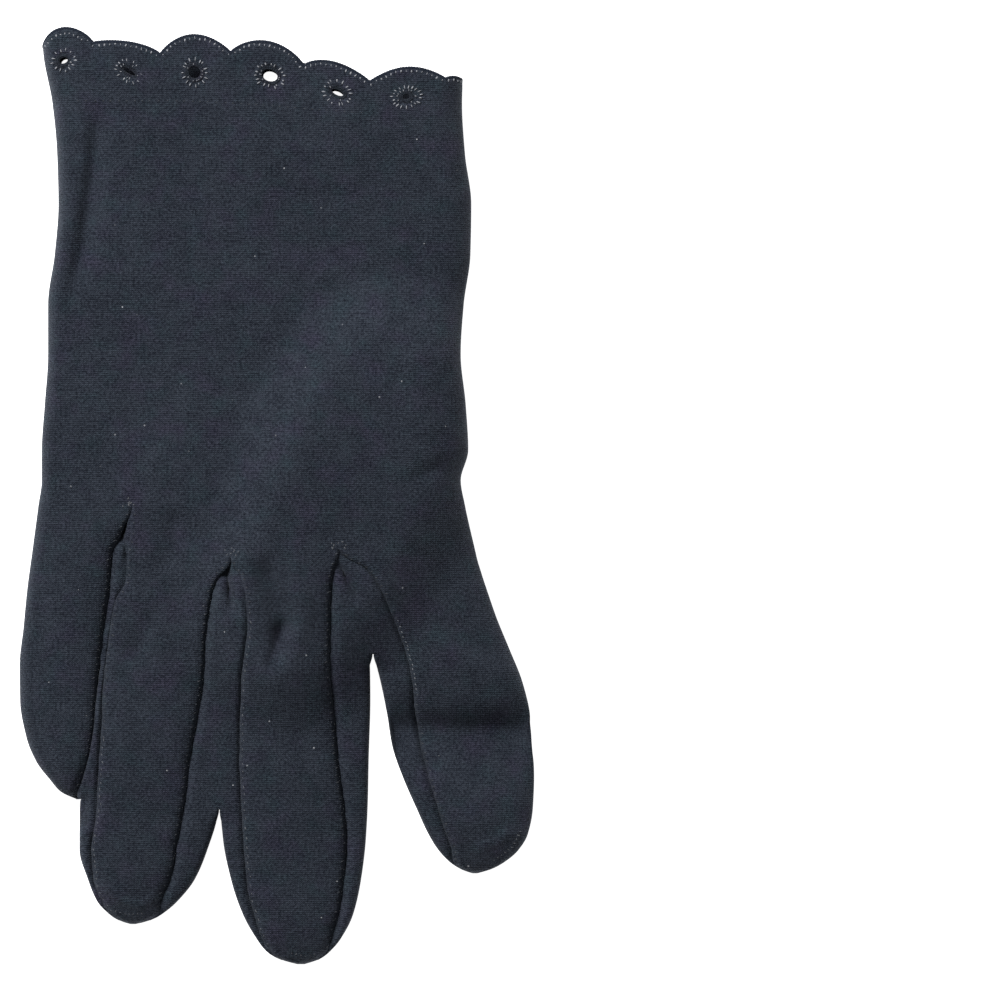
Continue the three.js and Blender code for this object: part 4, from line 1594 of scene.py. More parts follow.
@dataclass
class Fourchette:
    """A fourchette: one forked strip between two fingers, whole down to where the fingers part."""

    crotch: Crotch
    finishes: Finishes
    wall: float = 0.7 * MM
    pitch: float = 0.65 * MM
    lap: float = 0.9 * MM
    head: float = 1.2 * MM
    least: float = 0.5 * MM
    level_length: float = 7 * MM
    rounding_length: float = 5 * MM
    palm_seam: float = 0.9 * MM
    top_steps: int = 15
    under_steps: int = 6
    flush: float = 0.14 * MM
    end: float = 0.99
    cut_width: float = 10 * MM
    least_reach: float = 0.1 * MM
    least_room: float = 0.12
    top_end: float = 0.995
    top_crowding: float = 0.85
    top_power: float = 3.6
    under_start: float = 0.99
    under_power: float = 2.4
    under_cloth: float = 7.0
    side_cloth: float = 3.0

    def __post_init__(self) -> None:
        """Find the two fingers that the strip joins."""
        self.left = next(finger for finger in FINGERS if finger.after is self.crotch)
        self.right = next(finger for finger in FINGERS if finger.before is self.crotch)

    @staticmethod
    def _rounded(share: float, power: float) -> float:
        """The height of a rounded edge at a share of the way out, 1 down to 0."""
        return (1 - share**power) ** (1 / power)

    def _seam(self, finger: Finger, side: Side, face: Face, y: float) -> float:
        """The place across of a seam, kept off the line between the fingers above the crotch.

        Args:
            finger: the finger.
            side: the side of it that the leg covers.
            face: back or palm.
            y: the height.

        Returns:
            Its place across.
        """
        row = SHAPE.row(finger, face, y)
        edge = row.left if side is Side.LEFT else row.right
        least = PLAN.divider(self.crotch, min(y, PLAN.crotch_up(self.crotch))) + side.value * self.least
        return max(edge, least) if side is Side.LEFT else min(edge, least)

    def _levels(self, y: float) -> tuple[float, float]:
        """The heights of the back's and the palm's cloth beside the slit, before any lift.

        Args:
            y: the height up the hand.

        Returns:
            The two heights over the surface.
        """
        top = sum(
            PLAN.back_height(finger, share, PLAN.divider(self.crotch, y), y)
            for finger, share in ((self.left, 1.0), (self.right, 0.0))
        )
        bottom = PLAN.palm_height(self.left, y) + PLAN.palm_height(self.right, y)
        return top / 2, bottom / 2

    def _own_levels(self, finger: Finger, side: Side, seam: float, y: float) -> tuple[float, float]:
        """The heights at one finger's own seam."""
        share = 0.0 if side is Side.LEFT else 1.0
        return PLAN.back_height(finger, share, seam, y), PLAN.palm_height(finger, y)

    def _top(self, finger: Finger, side: Side, y: float, bulge: float) -> list[Spot]:
        """The upper half of a leg's row, from under the back strip to the outline.

        Args:
            finger: the finger.
            side: the side of it that the leg covers.
            y: the height.
            bulge: 0 where the cloth lies flat up to the next finger's, 1 where it rounds off.

        Returns:
            The points with their places on the cloth.
        """
        seam = self._seam(finger, side, Face.BACK, y)
        outline = PLAN.outline(finger, side, min(y, PLAN.crotch_up(self.crotch)))
        own, bottom = self._own_levels(finger, side, seam, y)
        shared = own if y < self.crotch.parting - self.level_length else self._levels(y)[0]
        inward = side.value
        reach = max((seam - outline) * inward, self.least_reach)
        room = clamp((own - bottom) / (PLAN.finger_hollow + PLAN.wall), self.least_room, 1.0)
        look = SEAM_LOOKS[side]
        below = (PLAN.crotch_up(self.crotch) - y) / self.level_length
        shelf = mix(self.flush, look.shelf, ease(below))
        opened = SHAPE.slit_open(self.crotch, side, y)
        start = mix(self.flush, look.under + look.drop + look.valley, opened)
        fold_share = 1 - PLAN.tip_share(finger, y) if y < 0 else 1.0
        spots = []
        for k in range(-1, self.top_steps + 1):
            s = self.top_end * (max(k, 0) / self.top_steps) ** self.top_crowding
            x = seam - inward * reach * s
            if k < 0:
                x = seam + inward * self.lap * room
            drop = mix(start, shelf, ease(s * reach / look.shelf_rise)) * room
            if k < 0:
                drop = max(drop, look.under * room)
            level = mix(own, shared, ease(s))
            crest = level - drop + SHAPE.relief(x, y) * fold_share
            crest += self.crotch.crease.height(x, y)
            middle = (level + bottom) / 2
            z = middle + (crest - middle) * mix(1.0, self._rounded(s, self.top_power), bulge)
            spots.append((Vector((x, y, z + PLAN.lift(x, y))), (x / MM + CLOTH_START, y / MM)))
        return spots

    def _under(self, finger: Finger, side: Side, y: float, bulge: float) -> list[Spot]:
        """The lower half of a leg's row, from the outline to over the palm strip.

        Args:
            finger: the finger.
            side: the side of it that the leg covers.
            y: the height.
            bulge: 0 where the cloth lies flat, 1 where it rounds off.

        Returns:
            The points with their places on the cloth.
        """
        seam = self._seam(finger, side, Face.PALM, y)
        outline = PLAN.outline(finger, side, min(y, PLAN.crotch_up(self.crotch)))
        own, bottom = self._own_levels(finger, side, seam, y)
        inward = side.value
        reach = max((seam - outline) * inward, self.least_reach)
        room = clamp((own - bottom) / (PLAN.finger_hollow + PLAN.wall), self.least_room, 1.0)
        low = bottom + self.palm_seam * room
        middle = (own + bottom) / 2
        spots = []
        for k in range(self.under_steps + 2):
            s = max(self.under_start - k / self.under_steps, 0.0)
            x = outline + inward * reach * (1 - s / self.under_start)
            if k > self.under_steps:
                x = seam + inward * self.lap * room
            z = middle + (low - middle) * mix(1.0, self._rounded(s, self.under_power), bulge)
            cloth = (CLOTH_START - x / MM, y / MM + self.under_cloth)
            spots.append((Vector((x, y, z + PLAN.lift(x, y))), cloth))
        return spots

    def _side(self, finger: Finger, side: Side, y: float) -> Spot:
        """The point on a leg's outline, half way up.

        Args:
            finger: the finger.
            side: the side of it that the leg covers.
            y: the height.

        Returns:
            The point with its place on the cloth.
        """
        outline = PLAN.outline(finger, side, y)
        own, bottom = self._own_levels(finger, side, outline, y)
        z = (own + bottom) / 2 + PLAN.lift(outline, y)
        return Vector((outline, y, z)), (outline / MM + CLOTH_START, y / MM + self.side_cloth)

    def _leg(self, mesher: Mesher, finger: Finger, side: Side) -> None:
        """Add one leg, from where the fingers part to its end near the fingertip.

        Args:
            mesher: the mesh under way.
            finger: the finger.
            side: the side of it that the leg covers.
        """
        low = -self.end * finger.length
        count = max(round((self.crotch.parting - low) / self.pitch), 1)
        rows = []
        for k in range(count + 1):
            y = mix(self.crotch.parting, low, k / count)
            bulge = ease((self.crotch.parting - y) / self.rounding_length)
            top, under = self._top(finger, side, y, bulge), self._under(finger, side, y, bulge)
            rows.append(top + [self._side(finger, side, y)] + under)
        mesher.lay(rows)

    def _web(self, mesher: Mesher) -> None:
        """Add the whole part of the strip, above and below, and its end where the fingers part.

        Args:
            mesher: the mesh under way.
        """
        high = PLAN.crotch_up(self.crotch) + self.head
        count = round((high - self.crotch.parting) / self.pitch)
        tops, unders = [], []
        for k in range(count + 1):
            y = mix(high, self.crotch.parting, k / count)
            left = self._top(self.left, Side.RIGHT, y, 0.0)
            right = self._top(self.right, Side.LEFT, y, 0.0)
            tops.append(left + right[::-1])
            left = self._under(self.left, Side.RIGHT, y, 0.0)
            right = self._under(self.right, Side.LEFT, y, 0.0)
            unders.append(left[::-1] + right)
        mesher.lay(tops)
        mesher.lay(unders)
        y = self.crotch.parting
        end = []
        for finger, side in ((self.left, Side.RIGHT), (self.right, Side.LEFT)):
            over, under = self._top(finger, side, y, 0.0)[-1], self._under(finger, side, y, 0.0)[0]
            end.append([over, self._side(finger, side, y), under])
        mesher.lay(end)

    def build(self) -> Piece:
        """Make the fourchette.

        Returns:
            The piece.
        """
        mesher = Mesher()
        self._web(mesher)
        self._leg(mesher, self.left, Side.RIGHT)
        self._leg(mesher, self.right, Side.LEFT)
        mesher.weld()
        bmesh.ops.recalc_face_normals(mesher.bm, faces=mesher.bm.faces[:])
        piece = mesher.piece(f"fourchette_{self.crotch.name}_cloth", self.finishes.cloth)
        thicken(piece, self.wall)
        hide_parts(f"fourchette_{self.crotch.name}")
        return piece


@dataclass
class Thumb:
    """The thumb: a flattened tube folded under the palm, closed by a seam round its edge."""

    finishes: Finishes
    wall: float = 0.8 * MM
    around: int = 48
    along: int = 60
    gap: float = 0.1 * MM
    squareness: float = 0.7
    flatness: float = 1.2
    dent: float = 0.1 * MM
    dent_size: float = 6 * MM
    cloth_around: float = 50

    def build(self) -> Piece:
        """Make the thumb.

        Returns:
            The piece.
        """
        mesher = Mesher()
        plan = PLAN
        turn = math.radians(plan.thumb_turn)
        height = (plan.thumb_hollow + 2 * plan.wall) / 2
        inset = self.wall / 2 + self.gap

        def place(i: int, j: int) -> Spot:
            """Place one vertex of the tube.

            Args:
                i: the place round it.
                j: the place along it.

            Returns:
                The point and its place on the cloth.
            """
            share = 0.5 - 0.5 * math.cos(math.pi * j / self.along)
            angle = 2 * math.pi * i / self.around
            half = THUMB.read("width", share) * plan.thumb_width / 2 - inset
            rise = height * THUMB.read("height", share) - inset
            aside = half * math.copysign(abs(math.cos(angle)) ** self.squareness, math.cos(angle))
            z = height + rise * clamp(self.flatness * math.sin(angle), -1, 1)
            dent = self.dent * noise.noise(Vector((aside / self.dent_size, share * 11, z / MM)))
            length = clamp(share * plan.thumb_length, inset, plan.thumb_length - inset)
            x = plan.thumb_base[0] - length * math.sin(turn) + aside * math.cos(turn)
            y = plan.thumb_base[1] - length * math.cos(turn) - aside * math.sin(turn)
            return Vector((x, y, z + dent)), (i / self.around * self.cloth_around, length / MM)

        mesher.grid(self.around, self.along, place)
        mesher.weld()
        open_edges = [edge for edge in mesher.bm.edges if edge.is_boundary]
        bmesh.ops.holes_fill(mesher.bm, edges=open_edges, sides=self.around)
        bmesh.ops.recalc_face_normals(mesher.bm, faces=mesher.bm.faces[:])
        piece = mesher.piece("thumb_cloth", self.finishes.cloth)
        thicken(piece, self.wall)
        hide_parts("thumb")
        return piece


@dataclass
class CuffFacing:
    """The facing: a second cloth inside the cuff, down to a line of small stitches."""

    finishes: Finishes
    wall: float = 0.6 * MM
    depth: float = 11.5 * MM
    hem: float = 0.7 * MM
    rows: int = 14

    def build(self) -> Piece:
        """Make the facing.

        Returns:
            The piece.
        """
        mesher = Mesher()
        low = PLAN.hand_length - self.depth
        heights = [mix(low, PLAN.hand_length - self.hem, k / self.rows) for k in range(self.rows + 1)]
        trank = Trank(self.finishes)
        for finger in FINGERS:
            for face in Face:
                self._strip(mesher, trank, finger, face, heights)
        mesher.weld()
        for eyelet in EYELETS:
            trank.pierce(mesher, eyelet)
        piece = mesher.piece("cuff_facing_cloth", self.finishes.inside)
        thicken(piece, self.wall)
        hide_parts("cuff_facing")
        return piece

    def _strip(
        self, mesher: Mesher, trank: Trank, finger: Finger, face: Face, heights: Sequence[float]
    ) -> None:
        """Lay the facing under one finger's part of one face.

        Args:
            mesher: the mesh under way.
            trank: the outer cloth, which gives the columns.
            finger: the finger.
            face: back or palm.
            heights: the heights of its rows.
        """
        columns = trank.columns(finger, face)
        last = len(columns) - 1
        rows = [SHAPE.row(finger, face, y) for y in heights]

        def place(i: int, j: int) -> Spot:
            """Place one vertex a step inside the outer cloth.

            Args:
                i: the column.
                j: the row.

            Returns:
                The point and its place on the cloth.
            """
            share, turn = columns[i if face is Face.BACK else last - i]
            point = SHAPE.point(rows[j], share, turn)
            if turn is None:
                point.z -= face.value * PLAN.step
            else:
                angle = math.radians(turn)
                inward = 1 if finger.before is None else -1
                point.x += inward * PLAN.step * math.cos(angle)
                point.z -= face.value * PLAN.step * math.sin(angle)
            return point, (point.x / MM + FACING_START, point.y / MM)

        mesher.grid(last, len(heights) - 1, place)


@dataclass
class CuffEdge:
    """The cuff's edge: a narrow rolled hem, overcast all round, with a row of stitches inside it whose
    brightness is a painted glint.
    """

    finishes: Finishes
    radius: float = 0.45 * MM
    step: float = 0.16 * MM
    around: int = 8
    wraps: float = 0.6 * MM
    wrap_rise: float = 0.1
    stitch_pitch: float = 1.2 * MM
    stitch_inset: float = 0.5 * MM
    stitch_size: Size = (0.7 * MM, 0.36 * MM, 0.24 * MM)
    stitch_lean: tuple[float, float] = (-0.5, 0.3)
    stitch_scale: tuple[float, float] = (0.4, 1.2)
    inset_scale: tuple[float, float] = (0.8, 1.35)
    stitch_rise: float = 0.4 * MM
    corner_width: float = 1.5 * MM
    corner_inset: float = 0.5 * MM
    least_step: float = 0.02 * MM

    def path(self, face: Face) -> list[tuple[Vector, Vector]]:
        """The edge's points on one face, each with its way out of the cloth.

        Args:
            face: back or palm.

        Returns:
            The points and the cloth's outward directions, from the little finger's side.
        """
        rough: list[tuple[Vector, Vector]] = []
        trank = Trank(self.finishes)
        for finger in FINGERS:
            row = SHAPE.row(finger, face, PLAN.hand_length)
            for share, turn in trank.columns(finger, face):
                point = SHAPE.point(row, share, turn)
                up = Vector((0, 0, face.value))
                if turn is not None:
                    angle = math.radians(turn)
                    away = -1 if finger.before is None else 1
                    up = Vector((away * math.cos(angle), 0, face.value * math.sin(angle)))
                if not rough or (point - rough[-1][0]).length > self.least_step:
                    rough.append((point, up))
        return rough

    def resampled(self, face: Face, step: float) -> list[tuple[Vector, Vector]]:
        """The edge's points at an even step, redrawn on the true scallops.

        Args:
            face: back or palm.
            step: the distance from point to point.

        Returns:
            The points and the cloth's outward directions.
        """
        rough = self.path(face)
        out = [rough[0]]
        carry = 0.0
        for (a, up_a), (b, up_b) in zip(rough, rough[1:]):
            length = (b - a).length
            at = step - carry
            while at <= length:
                t = at / length
                point = a.lerp(b, t)
                point.y = PLAN.scallop(point.x) - PLAN.hem_inset
                out.append((point, up_a.lerp(up_b, t).normalized()))
                at += step
            carry = length - (at - step)
        return out

    def build(self) -> list[Piece]:
        """Make the rolled hem and its stitches.

        Returns:
            The pieces.
        """
        hem = Mesher()
        stitches = Mesher()
        for face in Face:
            self._roll(hem, face)
            self._stitch(stitches, face)
        hem.weld()
        bmesh.ops.recalc_face_normals(hem.bm, faces=hem.bm.faces[:])
        rolled = hem.piece("cuff_edge_rolled_hem", self.finishes.edge)
        sewn = stitches.piece("cuff_edge_stitches", self.finishes.stitch)
        return [rolled, sewn]

    def _roll(self, hem: Mesher, face: Face) -> None:
        """Add the hem's ribbed roll along one face's edge.

        Args:
            hem: the mesh under way.
            face: back or palm.
        """
        points = self.resampled(face, self.step)

        def place(i: int, j: int) -> Spot:
            """Place one vertex of the roll.

            Args:
                i: the place round it.
                j: the place along it.

            Returns:
                The point and its place on the cloth.
            """
            point, up = points[j]
            before, after = points[max(j - 1, 0)][0], points[min(j + 1, len(points) - 1)][0]
            along = (after - before).normalized()
            out = along.cross(up).normalized() * face.value
            angle = 2 * math.pi * i / self.around
            rib = abs(math.sin(math.pi * j * self.step / self.wraps + angle / 2))
            radius = self.radius * (1 - self.wrap_rise + 2 * self.wrap_rise * rib)
            spot = point + radius * (math.cos(angle) * out + math.sin(angle) * up)
            return spot, (i, j * self.step / MM)

        hem.grid(self.around, len(points) - 1, place)

    def _stitch(self, stitches: Mesher, face: Face) -> None:
        """Add the row of short stitches inside one face's edge.

        Args:
            stitches: the mesh under way.
            face: back or palm.
        """
        rng = random.Random(17 + face.value)
        points = self.resampled(face, self.stitch_pitch)
        for k in range(1, len(points) - 1):
            point, up = points[k]
            along = (points[k + 1][0] - points[k - 1][0]).normalized()
            inward = up.cross(along).normalized() * face.value
            if inward.y > 0:
                inward = -inward
            way = (inward + along * rng.uniform(*self.stitch_lean)).normalized()
            size = tuple(value * rng.uniform(*self.stitch_scale) for value in self.stitch_size)
            inset = self.stitch_inset * rng.uniform(*self.inset_scale)
            if point.x < SCALLOPS[0].across * PLAN.hand_width - self.corner_width:
                inset += self.corner_inset
            seat = point + inward * inset + up * self.stitch_rise
            stitches.bead(seat, way, up, size)


@dataclass
class EyeletRim:
    """An eyelet's rim: dark thread whipped round a hole, with ends where it enters the cloth that are
    painted bright as a glint.
    """

    eyelet: Eyelet
    face: Face
    finishes: Finishes
    whips: int = 26
    around: int = 156
    across: int = 7
    rise: float = 0.36 * MM
    shut: float = 0.4
    end_size: Size = (0.85 * MM, 0.3 * MM, 0.24 * MM)
    wall: float = 0.3 * MM
    sunk_back: float = 0.85 * MM
    sunk_palm: float = 0.5 * MM
    end_rise: float = 0.5 * MM
    end_jitter: float = 0.25
    near_chance: float = 0.45
    near_share: float = 0.66
    near_turn: float = 0.2
    near_rise: float = 0.1 * MM
    whip_floor: float = 0.6
    whip_start: float = 0.06
    end_grown: tuple[float, float] = (0.9, 1.08)
    end_scale: tuple[float, float] = (0.6, 1.25)
    near_scale: tuple[float, float] = (0.4, 0.75)

    def __post_init__(self) -> None:
        """Work out the rim's place and sizes."""
        eyelet, bore = self.eyelet, PLAN.eyelet_bore / 2
        self.name = f"eyelet_{self.face.name.lower()}_{eyelet.number}"
        self.low, self.high = (Vector(corner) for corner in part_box(self.name))
        shut = 1.0 if self.face is Face.BACK or eyelet.through else self.shut
        self.wide, self.tall = eyelet.wide * bore * shut, eyelet.tall * bore * shut
        self.rim = PLAN.eyelet_rim + (1 - shut) * bore * 0.8
        self.x, self.y = eyelet.across * PLAN.hand_width, eyelet.up * PLAN.hand_length
        back = self.face is Face.BACK
        self.level = self.high.z - self.sunk_back if back else self.low.z + self.sunk_palm
        self.turn = Matrix.Rotation(math.radians(eyelet.turn), 3, "Z")

    def _round(self, angle: float, wide: float, tall: float, z: float) -> Vector:
        """A place on an ellipse about the eyelet's middle."""
        flat = self.turn @ Vector((wide * math.cos(angle), tall * math.sin(angle), 0))
        return Vector((self.x + flat.x, self.y + flat.y, z))

    def build(self) -> list[Piece]:
        """Make the rim and its thread ends.

        Returns:
            The pieces.
        """
        mesher = Mesher()

        def place(i: int, j: int) -> Spot:
            """Place one vertex of the whipped roll.

            Args:
                i: the place round the hole.
                j: the place across the roll.

            Returns:
                The point and its place on the cloth.
            """
            angle = 2 * math.pi * i / self.around
            s = j / self.across
            rib = abs(math.sin(self.whips * angle / 2))
            out = self.rim * (0.5 - 0.5 * math.cos(math.pi * s))
            crown = math.sin(math.pi * min(s + self.whip_start, 1)) ** 0.6
            height = self.rise * crown * mix(self.whip_floor, 1.0, rib)
            z = self.level + self.face.value * height
            spot = self._round(angle, self.wide + out, self.tall + out, z)
            return spot, (self.x / MM + 0.12 * i, self.y / MM + 0.25 * j)

        mesher.grid(self.around, self.across, place)
        mesher.weld()
        bmesh.ops.recalc_face_normals(mesher.bm, faces=mesher.bm.faces[:])
        roll = mesher.piece(f"{self.name}_rim", self.finishes.inside)
        thicken(roll, self.wall)
        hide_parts(self.name)
        tips = self._ends()
        return [roll, tips]

    def _ends(self) -> Piece:
        """Add the ring of ends painted bright as a glint, and a few short ones nearer to the bore.

        Returns:
            The piece.
        """
        rng = random.Random(40 + self.eyelet.number * 2 + self.face.value)
        ends = Mesher()
        wide, tall = (size * MM for size in self.eyelet.ring)
        up = Vector((0, 0, self.face.value))
        z = self.level + self.face.value * self.end_rise
        for k in range(self.eyelet.ends):
            angle = 2 * math.pi * (k + rng.uniform(-self.end_jitter, self.end_jitter)) / self.eyelet.ends
            grown = rng.uniform(*self.end_grown)
            seat = self._round(angle, wide * grown, tall * grown, z)
            way = seat - self._round(angle, wide * 0.5, tall * 0.5, z)
            size = tuple(value * rng.uniform(*self.end_scale) for value in self.end_size)
            ends.bead(seat, way, up, size)
            if rng.random() < self.near_chance:
                higher = z + self.face.value * self.near_rise
                share = self.near_share
                near = self._round(angle + self.near_turn, wide * share, tall * share, higher)
                size = tuple(value * rng.uniform(*self.near_scale) for value in self.end_size)
                ends.bead(near, way, up, size)
        return ends.piece(f"{self.name}_thread_ends", self.finishes.stitch)


@dataclass(frozen=True)
class SeamRun:
    """A run of stitches along a finger's seam: its place and pitch in millimetres, and its thread."""

    finger: int
    side: Side
    high: float
    low: float
    pitch: float
    thread: Thread


# The pale and bright runs lie on the left seams, which face the light; their paleness is a painted glint.
SEAM_RUNS = (
    SeamRun(0, Side.RIGHT, 9.0, -51.5, 1.7, Thread.DARK),
    SeamRun(1, Side.LEFT, 9.0, -40.0, 1.9, Thread.DARK),
    SeamRun(1, Side.LEFT, -40.5, -78.0, 1.5, Thread.PALE),
    SeamRun(1, Side.RIGHT, -1.6, -78.5, 1.8, Thread.DARK),
    SeamRun(2, Side.LEFT, -1.6, -12.0, 1.6, Thread.DARK),
    SeamRun(2, Side.LEFT, -12.5, -86.0, 1.8, Thread.PALE),
    SeamRun(2, Side.RIGHT, 0.4, -87.0, 1.8, Thread.DARK),
    SeamRun(3, Side.LEFT, 0.2, -14.0, 1.8, Thread.DARK),
    SeamRun(3, Side.LEFT, -14.2, -30.0, 1.15, Thread.BRIGHT),
    SeamRun(3, Side.LEFT, -30.5, -67.0, 1.8, Thread.DARK),
)

TIP_LINES = (
    ((-42.6, -51.4), (-40.6, -52.1), (-38.6, -52.4)),
    ((52.4, -66.8), (56.4, -64.0), (58.7, -59.6)),
    ((-31.6, -77.7), (-28.6, -78.6), (-24.0, -78.4)),
    ((8.0, -87.2), (11.0, -87.9), (14.0, -87.2)),
)


@dataclass
class SeamStitches:
    """The small stitches: along the finger seams, the facing and the side seam, and at the crotches."""

    finishes: Finishes
    size: Size = (0.8 * MM, 0.24 * MM, 0.18 * MM)
    seat: float = 0.42 * MM
    seam_near: tuple[float, float] = (0.45, 0.8)
    seam_far: float = 1.7
    scale: tuple[float, float] = (0.5, 1.15)
    uneven: tuple[float, float] = (0.75, 1.25)
    tip_scale: tuple[float, float] = (0.55, 1.1)
    crotch_reach: tuple[float, float] = (0.5, 2.1)
    crotch_length: tuple[float, float] = (0.35, 0.7)
    look_ahead: float = 0.6 * MM
    tip_pitch: float = 0.95
    crotch_count: int = 8
    crotch_size: tuple[float, float] = (0.28 * MM, 0.22 * MM)
    facing_drop: float = 10.6 * MM
    facing_sag: float = 3.2 * MM
    facing_from: float = 5.5 * MM
    facing_pitch: tuple[float, float] = (1.5, 2.1)
    facing_rise: float = 0.4 * MM
    sag_from: float = 20 * MM
    sag_width: float = 60 * MM
    facing_size: Size = (0.5 * MM, 0.2 * MM, 0.12 * MM)
    side_pitch: float = 1.6 * MM
    side_start: float = 3 * MM
    side_end: float = 0.97
    side_place: Size = (-0.3 * MM, 0, -0.35 * MM)
    side_size: Size = (1.0 * MM, 0.26 * MM, 0.22 * MM)

    def build(self) -> list[Piece]:
        """Make every run of stitches.

        Returns:
            The pieces.
        """
        made = [self._seam(number, run) for number, run in enumerate(SEAM_RUNS, start=1)]
        made += [self._crotches(), self._facing_line(), self._side_seam(), self._tips()]
        return made

    def _seam(self, number: int, run: SeamRun) -> Piece:
        """Add one run of stitches, which cross or follow the edge of a finger's back strip.

        Args:
            number: its number, which its name and its random draws use.
            run: the run.

        Returns:
            The piece.
        """
        rng = random.Random(60 + number)
        finger = FINGERS[run.finger]
        mesher = Mesher()
        y = run.high * MM
        while y > run.low * MM:
            row = SHAPE.row(finger, Face.BACK, y)
            lower = SHAPE.row(finger, Face.BACK, y - self.look_ahead)
            left = run.side is Side.LEFT
            edge, other = (row.left, lower.left) if left else (row.right, lower.right)
            along = Vector((other - edge, -self.look_ahead, 0)).normalized()
            width = max(row.right - row.left, MM)
            reaches = (rng.uniform(*self.seam_near), self.seam_far)
            near, far = (clamp(reach * MM / width, 0.0, 0.5) for reach in reaches)
            seat = SHAPE.point(row, near if left else 1 - near)
            inner = SHAPE.point(row, far if left else 1 - far)
            slope = (inner - seat).normalized()
            up = slope.cross(along).normalized()
            if up.z < 0:
                up = -up
            follows = run.thread is not Thread.DARK
            way = (slope * rng.uniform(0.1, 0.7) + along).normalized() if follows else slope + 0.4 * along
            size = tuple(value * rng.uniform(*self.scale) for value in self.size)
            mesher.bead(seat + up * self.seat, way, up, size)
            y -= run.pitch * MM * rng.uniform(*self.uneven) * max(0.45, abs(along.y))
        finish = self.finishes.seams[run.thread]
        name = f"seam_stitches_{number}_{finger.name}_{run.side.name.lower()}"
        return mesher.piece(name, finish)

    def _tips(self) -> Piece:
        """Add the stitches near the ends of the fingers, a little inside the outline.

        Returns:
            The piece.
        """
        mesher = Mesher()
        rng = random.Random(31)
        for line in TIP_LINES:
            for (ax, ay), (bx, by) in zip(line, line[1:]):
                way = Vector((bx - ax, by - ay, 0))
                count = max(round(way.length / self.tip_pitch), 1)
                for k in range(count):
                    x, y = mix(ax, bx, k / count) * MM, mix(ay, by, k / count) * MM
                    seat = Vector((x, y, SHAPE.back_at(x, y) + self.seat))
                    across = Vector((way.y, -way.x, 0)).normalized()
                    across += way.normalized() * rng.uniform(-0.6, 0.6)
                    size = tuple(value * rng.uniform(*self.tip_scale) for value in self.size)
                    mesher.bead(seat, across, Vector((0, 0, 1)), size)
        # the pale thread of these stitches is a painted glint
        return mesher.piece("fingertip_stitches", self.finishes.seams[Thread.PALE])

    def _crotches(self) -> Piece:
        """Add the few stitches that close each crotch.

        Returns:
            The piece.
        """
        mesher = Mesher()
        rng = random.Random(5)
        for crotch in CROTCHES:
            top = PLAN.crotch_up(crotch)
            x0 = PLAN.divider(crotch, top)
            for _ in range(self.crotch_count):
                angle = math.radians(rng.uniform(-10, 190))
                reach = rng.uniform(*self.crotch_reach) * MM
                x, y = x0 + reach * math.cos(angle), top + reach * math.sin(angle)
                seat = Vector((x, y, SHAPE.back_at(x, y) + self.seat))
                way = Vector((rng.uniform(-1, 1), rng.uniform(-1, 1), 0))
                size = rng.uniform(*self.crotch_length) * MM
                mesher.bead(seat, way, Vector((0, 0, 1)), (size, *self.crotch_size))
        # the pale thread of these stitches is a painted glint
        return mesher.piece("crotch_stitches", self.finishes.seams[Thread.PALE])

    def _facing_line(self) -> Piece:
        """Add the line of pricked stitches that holds the facing.

        Returns:
            The piece.
        """
        mesher = Mesher()
        rng = random.Random(9)
        y = PLAN.hand_length - self.facing_drop
        x = PLAN.hand_edge(Side.LEFT, y) + self.facing_from
        while x < PLAN.hand_edge(Side.RIGHT, y) - self.facing_from:
            drop = self.facing_sag * ease((x + self.sag_from) / self.sag_width)
            place = Vector((x, y - drop, 0))
            place.z = SHAPE.back_at(place.x, place.y) + self.facing_rise
            way = Vector((1, rng.uniform(-0.3, 0.3), 0))
            mesher.bead(place, way, Vector((0, 0, 1)), self.facing_size)
            x += rng.uniform(*self.facing_pitch) * MM
        return mesher.piece("facing_stitches", self.finishes.seams[Thread.DARK])

    def _side_seam(self) -> Piece:
        """Add the overcast stitches that join back and palm at the little finger's side.

        Returns:
            The piece.
        """
        mesher = Mesher()
        rng = random.Random(23)
        finger = FINGERS[0]
        y = PLAN.hand_length - self.side_start
        while y > -self.side_end * finger.length:
            row = SHAPE.row(finger, Face.BACK, y)
            seat = SHAPE.point(row, 0.0, 0.0)
            place = seat + Vector(self.side_place)
            way = Vector((0, rng.uniform(0.15, 0.4), 1))
            mesher.bead(place, way, Vector((-1, 0, 0)), self.side_size)
            y -= self.side_pitch * rng.uniform(0.9, 1.1)
        return mesher.piece("side_seam_stitches", self.finishes.seams[Thread.DARK])


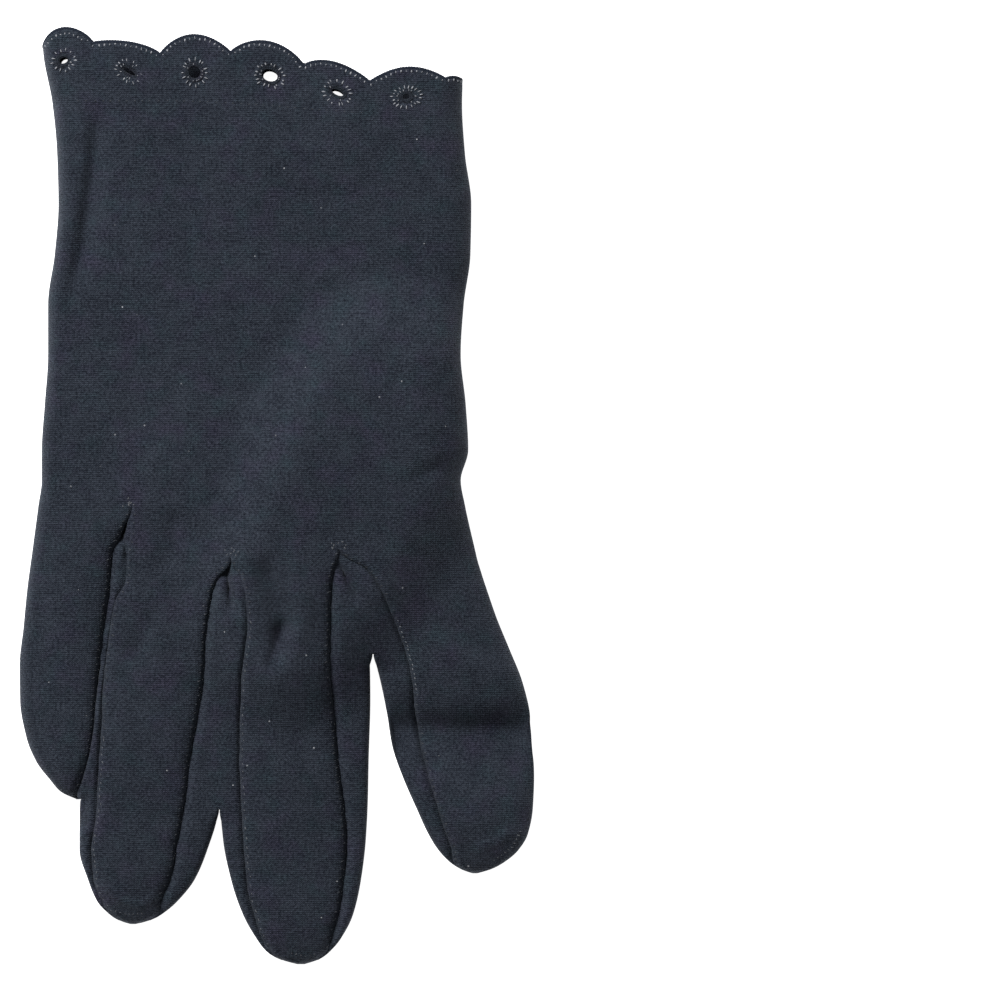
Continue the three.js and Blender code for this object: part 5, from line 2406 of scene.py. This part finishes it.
@dataclass
class Studio:
    """The pale floor, the soft light and the camera straight above."""

    field_width: float = 0.22
    distance: float = 2.2
    centre: tuple[float, float] = (0.04897, -0.00075)
    sensor: float = 36.0
    key_power: float = 4.7
    key_place: Size = (-0.52, 0.66, 0.76)
    key_size: float = 0.45
    world_strength: float = 0.25
    floor_half: float = 3.0

    def build(self) -> None:
        """Make the floor, the lights and the camera."""
        self._floor()
        self._light("key_light", self.key_place, self.key_size, self.key_power)
        self._world()
        self._camera()

    def _floor(self) -> None:
        """Lay the floor."""
        bm = bmesh.new()
        bmesh.ops.create_grid(bm, x_segments=1, y_segments=1, size=self.floor_half)
        mesh = bpy.data.meshes.new("floor")
        bm.to_mesh(mesh)
        bm.free()
        mesh.materials.append(PaleFloor().build())
        floor = bpy.data.objects.new("floor", mesh)
        bpy.context.scene.collection.objects.link(floor)

    def _light(self, name: str, place: Size, size: float, power: float) -> None:
        """Hang one soft light that looks at the glove.

        Args:
            name: its name.
            place: where it hangs.
            size: its width.
            power: its strength at the glove, whatever its distance.
        """
        lamp = bpy.data.lights.new(name, "AREA")
        lamp.shape = "SQUARE"
        lamp.size = size
        lamp.energy = power * (Vector(place).length ** 2) * math.pi
        light = bpy.data.objects.new(name, lamp)
        light.location = place
        light.rotation_euler = (-Vector(place)).to_track_quat("-Z", "Y").to_euler()
        bpy.context.scene.collection.objects.link(light)

    def _world(self) -> None:
        """Fill the room with even white light."""
        world = bpy.data.worlds.new("studio")
        world.use_nodes = True
        background = world.node_tree.nodes["Background"]
        background.inputs["Color"].default_value = (1, 1, 1, 1)
        background.inputs["Strength"].default_value = self.world_strength
        scene = bpy.context.scene
        scene.world = world
        scene.view_settings.view_transform = "Standard"
        scene.view_settings.look = "None"

    def _camera(self) -> None:
        """Set the camera straight above, framed as the photograph is."""
        data = bpy.data.cameras.new("camera")
        data.sensor_width = self.sensor
        data.lens = self.sensor * self.distance / self.field_width
        data.clip_end = 20
        camera = bpy.data.objects.new("camera", data)
        camera.location = (*self.centre, self.distance)
        bpy.context.scene.collection.objects.link(camera)
        bpy.context.scene.camera = camera


def main() -> None:
    """Build the glove piece by piece, then the studio round it."""
    logging.basicConfig(level=logging.INFO, format="%(name)s: %(message)s")
    Studio().build()
    finishes = Finishes()
    made: list[Piece] = [Thumb(finishes).build(), Trank(finishes).build()]
    made += [Fourchette(crotch, finishes).build() for crotch in CROTCHES]
    made.append(CuffFacing(finishes).build())
    made += CuffEdge(finishes).build()
    for eyelet in EYELETS:
        for face in Face:
            made += EyeletRim(eyelet, face, finishes).build()
    made += SeamStitches(finishes).build()
    for piece in made:
        LOG.info("%s: %d faces", piece.name, len(piece.data.polygons))


if __name__ == "__main__":
    main()
